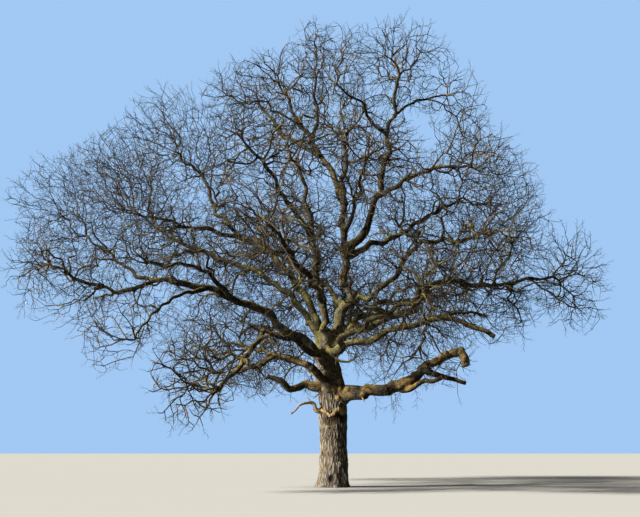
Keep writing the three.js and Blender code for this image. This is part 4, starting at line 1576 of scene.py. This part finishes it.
def new_tree(name, inputs):
    """A geometry node tree with named inputs after its geometry, and its graph, input and output."""
    tree = bpy.data.node_groups.new(name, "GeometryNodeTree")
    tree.interface.new_socket("Geometry", in_out="OUTPUT", socket_type="NodeSocketGeometry")
    for title, kind in {"Geometry": "NodeSocketGeometry", **inputs}.items():
        tree.interface.new_socket(title, in_out="INPUT", socket_type=kind)
    graph = Graph(tree)
    source = graph.node("NodeGroupInput")
    return tree, graph, source


def tinted(graph, geometry, source):
    """Sets one of three materials by tint, after the instances are made real, and ends the tree."""
    real = graph.output("GeometryNodeRealizeInstances", None, {"Geometry": geometry})
    smooth = graph.output("GeometryNodeSetShadeSmooth", None, {"Geometry": real})
    result = graph.output(
        "GeometryNodeSetMaterial", None, {"Geometry": smooth, "Material": source.outputs["First"]})
    for title, level in (("Second", 0.5), ("Third", 1.5)):
        sockets = {0: graph.named("tint"), 1: level}
        above = graph.output("FunctionNodeCompare", {"operation": "GREATER_THAN"}, sockets)
        sockets = {"Geometry": result, "Selection": above, "Material": source.outputs[title]}
        result = graph.output("GeometryNodeSetMaterial", None, sockets)
    graph.node("NodeGroupOutput", None, {0: result})


TINTS = dict.fromkeys(("First", "Second", "Third"), "NodeSocketMaterial")


@functools.cache
def sweep_tree():
    """Node tree that sweeps a tapering tube along each run of edges."""
    tree, graph, source = new_tree("oak_sweep", {"Sides": "NodeSocketInt", **TINTS})
    curve = graph.output("GeometryNodeMeshToCurve", None, {"Mesh": source.outputs["Geometry"]})
    sockets = {"Resolution": source.outputs["Sides"], "Radius": 1.0}
    circle = graph.output("GeometryNodeCurvePrimitiveCircle", None, sockets)
    sockets = {"Curve": curve, "Profile Curve": circle, "Scale": graph.named("girth"), "Fill Caps": True}
    tinted(graph, graph.output("GeometryNodeCurveToMesh", None, sockets), source)
    return tree


@functools.cache
def scatter_tree():
    """Node tree that puts a spray of twiglets on each point, turned along the point's aim."""
    tree, graph, source = new_tree("oak_scatter", {"Sprays": "NodeSocketCollection", **TINTS})
    sockets = {"Collection": source.outputs["Sprays"], "Separate Children": True, "Reset Children": True}
    sprays = graph.output("GeometryNodeCollectionInfo", None, sockets)
    points = graph.output("GeometryNodeMeshToPoints", None, {"Mesh": source.outputs["Geometry"]})
    sockets = {"Vector": graph.named("aim", "FLOAT_VECTOR")}
    aim = graph.output("FunctionNodeAlignRotationToVector", {"axis": "Z"}, sockets)
    sockets = {"Axis": (0, 0, 1), "Angle": graph.named("roll")}
    roll = graph.output("FunctionNodeAxisAngleToRotation", None, sockets)
    sockets = {"Rotation": aim, "Rotate By": roll}
    turned = graph.output("FunctionNodeRotateRotation", {"rotation_space": "LOCAL"}, sockets)
    sockets = {"Points": points, "Instance": sprays, "Pick Instance": True,
               "Instance Index": graph.named("kind"), "Rotation": turned, "Scale": graph.named("size")}
    tinted(graph, graph.output("GeometryNodeInstanceOnPoints", None, sockets), source)
    return tree


def made_by(tree, source, values, name):
    """The plain mesh piece that a node tree makes of an object, with the tree's named inputs set first."""
    modifier = source.modifiers.new(tree.name, "NODES")
    modifier.node_group = tree
    for item in tree.interface.items_tree:
        if item.in_out == "INPUT" and item.name in values:
            modifier[item.identifier] = values[item.name]
    return plain_mesh(source, name)


def twig_finish(name, colour, glint):
    """Plain twig bark: one base colour, so that it stays where it is dealt, with a fine grain."""
    finish = Finish(name)
    place = finish.node("ShaderNodeTexCoord").outputs["Object"]
    grain = finish.speckle(place, 45, 2)
    normal = finish.bump(grain, 0.002)
    return finish.finished((*colour, 1), 0.6 + grain * 0.3, normal, glint)


@functools.cache
def twig_materials():
    """The three finishes of the twigs, each with its glint."""
    settings = bpy.context.scene.oak_twigs
    finishes = [
        twig_finish(f"twig_{kind}", getattr(settings, kind), glint)
        for kind, glint in {"brown": 0.3, "grey": 0.35, "ochre": 0.25}.items()
    ]
    return dict(zip(TINTS, finishes))


def parcels(items, weight):
    """Items in runs whose weights stay under the limit for a piece."""
    runs = [[]]
    total = 0
    for item in items:
        cost = weight(item)
        if total + cost > TRIANGLE_LIMIT:
            runs.append([])
            total = 0
        runs[-1].append(item)
        total += cost
    return runs


def swept_triangles(chain, sides):
    """How many triangles a swept run has."""
    return (len(chain[0]) - 1) * sides * 2 + 2 * (sides - 2)


class OakTwigs(bpy.types.PropertyGroup):
    """Sizes and colours of the twigs."""

    finer: IntProperty(
        name="Finer", description="How many times as many buds as in the solids", default=26, min=2)
    room: a_number("Room", "How far out twigs may fill the notches between masses", 1.15)
    side_boughs: a_number("Side boughs", "Buds of side boughs in a cubic metre round the limbs", 0.8)
    side_twigs: IntProperty(
        name="Side twigs", description="Buds of twigs for each short step of a side bough", default=4, min=1)
    thinnest: a_length("Thinnest twig", "Radius of the thinnest twig that bears twiglets", 0.0075)
    gauge: a_length("Gauge", "Radius of a side twig with a single tip", 0.0105)
    taper: a_number("Taper", "Power of its share of tips that sets a twig's girth", 0.34)
    stout: a_length("Branch radius", "Twigs with a thicker root are branches with bark", 0.023)
    per_twig: a_number("Sprays per twig", "Side sprays for each step of a thin twig", 0.55)
    spray_length: a_length("Spray length", "Length of a spray of twiglets", 0.46)
    spray_radius: a_length("Spray radius", "Radius of a spray's stem at its root", 0.0078)
    brown: a_colour("Brown twigs", "Twigs of the last two years", (0.0165, 0.013, 0.01))
    grey: a_colour("Grey twigs", "Older twigs", (0.046, 0.04, 0.034))
    ochre: a_colour("Ochre twigs", "Twigs with a film of algae", (0.12, 0.098, 0.055))


def dress_branches(mesh):
    """Keeps what the bark's finish needs on the branches: moss on their upper sides."""
    places = read_vectors(mesh.vertices, "co")
    upward = smoothstep(0.1, 0.9, read_vectors(mesh.vertex_normals, "vector") @ MOSSY_SIDE)
    moss = 0.6 * upward * smoothstep(0.35, 0.7, noise(places * 1.3, 81))
    # Painted cracks without relief, in the nearly black colour of the furrows' painted shade
    furrow = smoothstep(0.5, 0.9, noise(places * 14, 83)) * 0.6
    ochre = 0.4 * smoothstep(0.4, 0.8, noise(places * 1.1, 87))
    store(mesh, grain=places, furrow=furrow, moss=moss, ochre=ochre, bough=np.ones(len(places)))


def add_swept(title, chains, sides, seed, materials, slot):
    """Adds pieces of this kind swept along runs of places, each piece under the limit of triangles."""
    for i, run in enumerate(parcels(chains, lambda chain: swept_triangles(chain, sides))):
        name = f"{title}_{i + 1}"
        source = rods(name, run, np.random.default_rng(seed + i))
        piece = made_by(sweep_tree(), source, {"Sides": sides, **materials}, name)
        if slot == "limb_bark":
            dress_branches(piece.data)
        settle(piece, mass_nodes())


def crown_chains():
    """All twigs of the masses and sleeves as runs of places with radii."""
    return [chain for growth in grow_crown()[1] for chain in growth.chains()]


class OAK_OT_branches(bpy.types.Operator):
    """Adds the branches that carry the twigs, in the masses and on the limbs"""

    bl_idname = "oak.branches"
    bl_label = "Branches"

    def execute(self, context):
        stout = context.scene.oak_twigs.stout
        chains = [chain for chain in crown_chains() if chain[1][0] > stout]
        finish = dict.fromkeys(TINTS, bark_material("limb"))
        add_swept("branches", chains, 7, 71, finish, "limb_bark")
        return {"FINISHED"}


class OAK_OT_twigs(bpy.types.Operator):
    """Adds the twigs between the branches and the sprays, and the side twigs of the boughs"""

    bl_idname = "oak.twigs"
    bl_label = "Twigs"

    def execute(self, context):
        stout = context.scene.oak_twigs.stout
        chains = [chain for chain in crown_chains() if chain[1][0] <= stout]
        add_swept("twigs", chains + spurs(), 3, 73, twig_materials(), "twigs")
        return {"FINISHED"}


# A spray: the steps of its stem and the stem's radii, as shares of its length and radius, and its twiglets,
# each at a share of the stem with its length
SPRAY_KINDS = 4
SPRAY_SEED = 40
SPRAY_STEPS = (0.38, 0.34, 0.28)
SPRAY_TAPER = np.array([1, 0.85, 0.65])
SPRAY_SWAY = 0.36
SPRAY_TINTS = (0.5, 0.32, 0.18)  # how often each of the three materials is drawn
TWIGLETS = ((0.22, 0.4), (0.42, 0.42), (0.62, 0.34), (0.8, 0.26), (0.93, 0.2))


def spray(seed, length, radius):
    """The closed forms of a spray of twiglets that stands up from the origin: a crooked stem and pointed
    twiglets on it, closer together towards its tip."""
    random = np.random.default_rng(seed)
    stem = np.zeros((len(SPRAY_STEPS) + 1, 3))
    turn = random.uniform(0, 6.28)
    for k, step in enumerate(SPRAY_STEPS):
        turn += math.pi + random.uniform(-0.6, 0.6)
        sway = SPRAY_SWAY * np.array([math.cos(turn), math.sin(turn)])
        stem[k + 1] = stem[k] + unit(np.array([*sway, 1.0])) * length * step
    forms = [pointed(stem, radius * SPRAY_TAPER, 3)]
    for share, reach in TWIGLETS:
        k = min(2, int(share * 3))
        foot = stem[k] + (stem[k + 1] - stem[k]) * (share * 3 - k)
        turn += 2.4 + random.uniform(-0.4, 0.4)
        way = unit(np.array([math.cos(turn), math.sin(turn), random.uniform(0.5, 1.2)]))
        forms.append(pointed(np.array([foot, foot + way * length * reach]), [radius * 0.62], 3))
    return forms


THICKEST_WITH_SPRAYS = 0.026
LIFT = np.array([0, 0, 0.25])  # sprays turn up a little
OVERREACH = 0.3  # how far sprays may stand out of the box of the solids


def spray_rows(growths, per_twig):
    """Where sprays go, which way each points and how large it is: one straight on from each tip, and some to
    the side of the thin twigs."""
    rows = []
    for number, growth in enumerate(growths):
        random = np.random.default_rng(SIDE_SPRAY_SEED + number)
        for k in np.flatnonzero((growth.bearer >= 0) & (growth.radius < THICKEST_WITH_SPRAYS)):
            is_tip = not growth.borne[k]
            way = growth.way[k]
            start = growth.at[growth.bearer[k]]
            for side in range(is_tip + (random.random() < per_twig)):
                straight = is_tip and side == 0
                out = sideways(way, random)
                aim = way + out * 0.25 if straight else way * 0.6 + out
                place = growth.at[k] if straight else start + (growth.at[k] - start) * random.uniform(0.2, 1)
                rows.append((*place, *unit(aim + LIFT), random.uniform(0.7, 1.2)))
    return np.array(rows)


def spur_rows():
    """Sprays on the side twigs of the boughs."""
    random = np.random.default_rng(79)
    rows = []
    for places, _ in spurs():
        for k in range(1, len(places)):
            way = unit(places[k] - places[k - 1])
            last = k == len(places) - 1
            for side in range(2):
                out = sideways(way, random)
                aim = unit(way + out * (0.3 if last and side == 0 else 1.0))
                rows.append((*places[k], *aim, random.uniform(0.6, 1.0)))
    return np.array(rows)


def within_reach(rows, length):
    """The sprays that stay in the box of the solids with a little overreach, cut short where they must."""
    low = np.array(cad_bounds[0]) - OVERREACH
    high = np.array(cad_bounds[1]) + OVERREACH
    for shorter in (0.6, 0.6, 0):
        tips = rows[:, :3] + rows[:, 3:6] * rows[:, 6:] * length
        outside = ((tips < low) | (tips > high)).any(axis=1)
        rows[outside, 6] *= shorter
    return rows[rows[:, 6] > 0]


class OAK_OT_sprays(bpy.types.Operator):
    """Adds the sprays of fine twiglets"""

    bl_idname = "oak.sprays"
    bl_label = "Sprays"

    def execute(self, context):
        settings = context.scene.oak_twigs
        kinds = bpy.data.collections.new("spray_kinds")
        for kind in range(SPRAY_KINDS):
            forms = spray(SPRAY_SEED + kind, settings.spray_length, settings.spray_radius)
            mesh = joined(forms, f"spray_{kind}")
            kinds.objects.link(bpy.data.objects.new(mesh.name, mesh))
        per_spray = sum(len(face.vertices) - 2 for face in mesh.polygons)
        rows = np.vstack([spray_rows(grow_crown()[1], settings.per_twig), spur_rows()])
        rows = within_reach(rows, settings.spray_length)
        rows = rows[np.argsort(rows[:, 0], kind="stable")]
        random = np.random.default_rng(77)
        count = math.ceil(len(rows) * per_spray / TRIANGLE_LIMIT)
        for i, run in enumerate(np.array_split(rows, count)):
            name = f"sprays_{i + 1}"
            mesh = bpy.data.meshes.new(name)
            mesh.from_pydata(run[:, :3].tolist(), [], [])
            store(mesh, aim=run[:, 3:6], size=run[:, 6],
                  roll=random.uniform(0, 2 * math.pi, len(run)),
                  kind=random.integers(0, SPRAY_KINDS, len(run)),
                  tint=random.choice(len(TINTS), len(run), p=SPRAY_TINTS))
            values = {"Sprays": kinds, **twig_materials()}
            piece = made_by(scatter_tree(), new_object(name, mesh), values, name)
            settle(piece, mass_nodes())
        for made in list(kinds.objects):
            bpy.data.objects.remove(made)
        bpy.data.collections.remove(kinds)
        return {"FINISHED"}


# The sawn end of a bough: sides and growth rings, how far it stands proud, and how far its rim is sunk
DISC_SIDES = 40
DISC_RINGS = 9
DISC_RISE = 0.008
DISC_RIM = 0.03
SAWN = ["right_low", "right_low_prong_1", "right_lowest", "right_lowest_prong_1", "right_lowest_prong_2",
        "left_lowest"]

# A splinter's rings and its radii there, as shares of its length and radius
SPLINTER_STEPS = (0, 0.5, 0.85, 1)
SPLINTER_TAPER = np.array([1, 0.7, 0.35])
SPLINTER_ASKEW = (0.3, 0.7, 0.61)

# Torn ends: the limb, how far from its end the splinters are rooted, how many, how much they lean and how
# much they are strewn, the shortest and the longest, and their radius
TORN = [("broken_limb", 0.1, 7, 0.35, 0.015, (0.12, 0.3), 0.014),
        ("mossy_stub", 0.12, 6, 0.3, 0.035, (0.15, 0.32), 0.03)]

# Snapped twigs: the limb, how far along it, how far out in what heading, and the twig's own heading, length
# and radius
SNAPPED = [("broken_limb", 1.05, 0, (0, 0), (150, 55), 0.42, 0.045),
           ("right_lowest", 1.35, 0.2, (245, -25), (318, -58), 0.4, 0.06),
           ("right_lowest", 4.85, 0.12, (250, -50), (310, -62), 0.34, 0.055),
           ("trunk", 3.78, 0.45, (196, 0), (199, -38), 0.5, 0.05)]


def grain_disc(limb):
    """The sawn end of a bough: a closed disc with growth rings and cracks, from its rim to its middle."""
    length = limb.line.length
    centre = limb.line.at(length)
    way = limb.line.way(length)
    turns = np.arange(DISC_SIDES) * 2 * math.pi / DISC_SIDES
    wobble = 1 + 0.04 * np.sin(3 * turns + limb.thin * 90)
    ring = spokes(limb.sides[-1], limb.ups[-1], DISC_SIDES) * (limb.thin * 0.97 * wobble)[:, None]
    cracks = 0.004 * np.maximum(0, np.cos(5 * turns + 1)) ** 20
    corners = []
    for k in range(DISC_RINGS, 0, -1):
        share = k / DISC_RINGS
        rise = DISC_RISE + 0.0015 * math.sin(share * 40) - cracks * share - (DISC_RIM if share == 1 else 0)
        corners.append(centre + ring * share + np.outer(rise, way))
    corners.append([centre + way * DISC_RISE])
    return np.vstack(corners), ring_faces(DISC_RINGS, DISC_SIDES, to_point=True)


@functools.cache
def wood_material():
    """Weathered wood without bark: pale fibres, grey stains and dark cracks."""
    settings = bpy.context.scene.oak_bark
    finish = Finish("bare_wood")
    place = finish.node("ShaderNodeTexCoord").outputs["Object"]
    fibres = finish.speckle(finish.stretched(place, (1, 1, 0.3)), 40, 4, 0.6)
    stains = finish.speckle(place, 5, 3)
    colour = finish.mix(fibres.step(0.3, 0.7), settings.wood_shade, settings.wood_colour)
    colour = finish.mix(stains.step(0.5, 0.8) * 0.6, colour, settings.lichen_colour)
    normal = finish.bump(fibres, 0.006)
    return finish.finished(colour, 0.75 + fibres * 0.15, normal, 0.3)


DEAD_WOOD_GRID = 0.011
GROOVE_DEPTH = 0.009


def torn_wood():
    """The broken limb, with the splinters at torn ends and the snapped twigs."""
    laid = lay_out()
    forms = [tube(laid["broken_limb"], sides=14)]
    random = np.random.default_rng(31)
    for name, back, count, lean, strewn, (shortest, longest), radius in TORN:
        line = laid[name].line
        for _ in range(count):
            way = unit(line.way(line.length) + random.normal(size=3) * lean)
            foot = line.at(line.length - back) + random.normal(size=3) * strewn
            forms.append(splinter(foot, way, random.uniform(shortest, longest), radius))
    for name, distance, out, (bearing, climb), way, length, radius in SNAPPED:
        foot = laid[name].line.at(distance) + heading(bearing, climb) * out
        forms.append(splinter(foot, heading(*way), length, radius))
    return forms


class OAK_OT_dead_wood(bpy.types.Operator):
    """Adds the broken limb on the trunk and the sawn ends of the low boughs"""

    bl_idname = "oak.dead_wood"
    bl_label = "Dead wood"

    def execute(self, context):
        laid = lay_out()
        piece = fused(torn_wood(), DEAD_WOOD_GRID, "broken_limb")
        places = read_vectors(piece.data.vertices, "co")
        setting = Setting(places, [laid["broken_limb"]])
        grain = np.column_stack([setting.across * 60, setting.along * 7])
        grooves = smoothstep(0.6, 1, 1 - np.abs(2 * noise(grain, 91) - 1))
        normals = read_vectors(piece.data.vertex_normals, "vector")
        write_places(piece.data, places - normals * (GROOVE_DEPTH * grooves)[:, None])
        settle(piece, ["trunk"], wood_material())

        discs = joined([grain_disc(laid[name]) for name in SAWN], "sawn_ends")
        settle(new_object("sawn_ends", discs), [], wood_material())
        return {"FINISHED"}


def splinter(foot, way, length, radius):
    """A pointed closed spike of wood."""
    places = foot + np.outer(SPLINTER_STEPS, way) * length
    return pointed(places, radius * SPLINTER_TAPER, 6, SPLINTER_ASKEW)


class OakStage(bpy.types.PropertyGroup):
    """The plain studio round the tree."""

    floor_colour: a_colour("Floor", "Colour of the plain floor", (0.43, 0.43, 0.415))
    floor_bounce: a_colour(
        "Floor bounce", "Colour of the light that the floor throws back", (0.1, 0.1, 0.08))
    sky_colour: a_colour("Sky", "Pale blue of the plain surround", (0.36, 0.58, 0.9))
    fill_colour: a_colour("Fill", "Colour of the soft light from all round", (0.72, 0.82, 1.0))
    fill_strength: a_number("Fill strength", "Strength of the soft light from all round", 0.07)
    key_strength: a_number("Key strength", "Strength of the light from the left", 9.6)
    low_power: a_number("Low light", "Power of the lamp that reaches in under the crown", 270000)
    foot_power: a_number("Foot light", "Power of the soft lamp on the foot of the trunk", 130000)


EYE_HEIGHT = 1.65
CAMERA_DISTANCE = 41.0
CAMERA_ASIDE = -0.524
CAMERA_CLIMB = 10.564
LENS = 56.25
SENSOR = 36.0
CLIP_END = 1000
FLOOR_HALF = 160.0
FLOOR_DROP = 0.004
WARM = (1, 0.95, 0.86)
KEY_FROM = (196, 33)  # bearing and climb
KEY_ANGLE = 6  # how wide the key light is, in degrees, which softens its shadows
LAMP_DISTANCE = 60
# Lamps: name, bearing, height, what they are aimed at and how wide they spread, in degrees
LAMPS = [("low", 203, 11.5, (-0.9, 0, 3.5), 7.4), ("foot", 226, 2.4, (0, 0, 0.75), 2.3)]


class OAK_OT_stage(bpy.types.Operator):
    """Adds the plain floor, the soft light and the camera at the height of a standing person's eye"""

    bl_idname = "oak.stage"
    bl_label = "Stage"

    def execute(self, context):
        settings = context.scene.oak_stage
        add_floor(settings)
        world = bpy.data.worlds.new("surround")
        context.scene.world = world
        world.use_nodes = True
        world.node_tree.nodes.clear()
        graph = Graph(world.node_tree)
        shown = graph.shown_and_lit(
            "ShaderNodeBackground", {"Color": (*settings.sky_colour, 1)},
            {"Color": (*settings.fill_colour, 1), "Strength": settings.fill_strength})
        graph.node("ShaderNodeOutputWorld", None, {"Surface": shown})
        context.scene.view_settings.view_transform = "Standard"
        add_lights(settings)

        camera = bpy.data.cameras.new("camera")
        camera.lens = LENS
        camera.sensor_width = SENSOR
        camera.clip_end = CLIP_END
        seat = new_object("camera", camera)
        seat.location = (CAMERA_ASIDE, -CAMERA_DISTANCE, EYE_HEIGHT)
        seat.rotation_euler = (math.radians(90 + CAMERA_CLIMB), 0, 0)
        context.scene.camera = seat
        return {"FINISHED"}


def add_floor(settings):
    """The plain floor, a little under the tree's foot."""
    mesh = bpy.data.meshes.new("floor")
    corners = [(x, y, -FLOOR_DROP) for x, y in itertools.product((-FLOOR_HALF, FLOOR_HALF), repeat=2)]
    mesh.from_pydata(corners, [], [(0, 2, 3, 1)])
    finish = Finish("floor")
    place = finish.node("ShaderNodeTexCoord").outputs["Object"]
    normal = finish.bump(finish.speckle(place, 0.7, 2), 0.002)
    shown = finish.shown_and_lit(
        "ShaderNodeBsdfDiffuse", {"Color": (*settings.floor_colour, 1), "Normal": normal},
        {"Color": (*settings.floor_bounce, 1)})
    finish.node("ShaderNodeOutputMaterial", None, {"Surface": shown})
    mesh.materials.append(finish.material)
    new_object("floor", mesh)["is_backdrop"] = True


def add_lights(settings):
    """The light from the left and the lamps that reach in under the crown."""
    key = bpy.data.lights.new("key", "SUN")
    key.energy = settings.key_strength
    key.angle = math.radians(KEY_ANGLE)
    key.color = WARM
    towards = -Vector(heading(*KEY_FROM))
    new_object("key", key).rotation_euler = towards.to_track_quat("-Z", "Y").to_euler()
    for name, bearing, height, aim, spread in LAMPS:
        lamp = bpy.data.lights.new(name, "SPOT")
        lamp.spot_size = math.radians(spread)
        lamp.spot_blend = 0.9
        lamp.shadow_soft_size = 0.8
        lamp.energy = getattr(settings, f"{name}_power")
        lamp.color = WARM
        holder = new_object(name, lamp)
        holder.location = Vector(heading(bearing, 0)) * LAMP_DISTANCE + Vector((0, 0, height))
        holder.rotation_euler = (Vector(aim) - holder.location).to_track_quat("-Z", "Y").to_euler()


class OAK_PT_panel(bpy.types.Panel):
    """Lists the pieces of the tree"""

    bl_idname = "OAK_PT_panel"
    bl_label = "Bare oak"
    bl_space_type = "VIEW_3D"
    bl_region_type = "UI"
    bl_category = "Oak"

    def draw(self, context):
        for operator in OPERATORS:
            self.layout.operator(operator.bl_idname)
        for group in ("oak_bark", "oak_twigs", "oak_stage"):
            settings = getattr(context.scene, group)
            for name in settings.bl_rna.properties.keys():
                if name not in ("rna_type", "name"):
                    self.layout.prop(settings, name)


OPERATORS = (OAK_OT_trunk, OAK_OT_boughs, OAK_OT_dead_wood, OAK_OT_branches, OAK_OT_twigs, OAK_OT_sprays,
             OAK_OT_stage)
GROUPS = {"oak_bark": OakBark, "oak_twigs": OakTwigs, "oak_stage": OakStage}


def register():
    for group in GROUPS.values():
        bpy.utils.register_class(group)
    for name, group in GROUPS.items():
        setattr(bpy.types.Scene, name, PointerProperty(type=group))
    for operator in OPERATORS:
        bpy.utils.register_class(operator)
    bpy.utils.register_class(OAK_PT_panel)


def unregister():
    bpy.utils.unregister_class(OAK_PT_panel)
    for operator in reversed(OPERATORS):
        bpy.utils.unregister_class(operator)
    for name, group in GROUPS.items():
        delattr(bpy.types.Scene, name)
        bpy.utils.unregister_class(group)


def main():
    register()
    bpy.ops.oak.stage()
    bpy.ops.oak.trunk()
    bpy.ops.oak.boughs()
    bpy.ops.oak.dead_wood()
    bpy.ops.oak.branches()
    bpy.ops.oak.twigs()
    bpy.ops.oak.sprays()
    bounds = {"cad": cad_bounds, "visual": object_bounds()}
    sizes = {kind: [list(corner) for corner in corners] for kind, corners in bounds.items()}


if __name__ == "__main__":
    main()
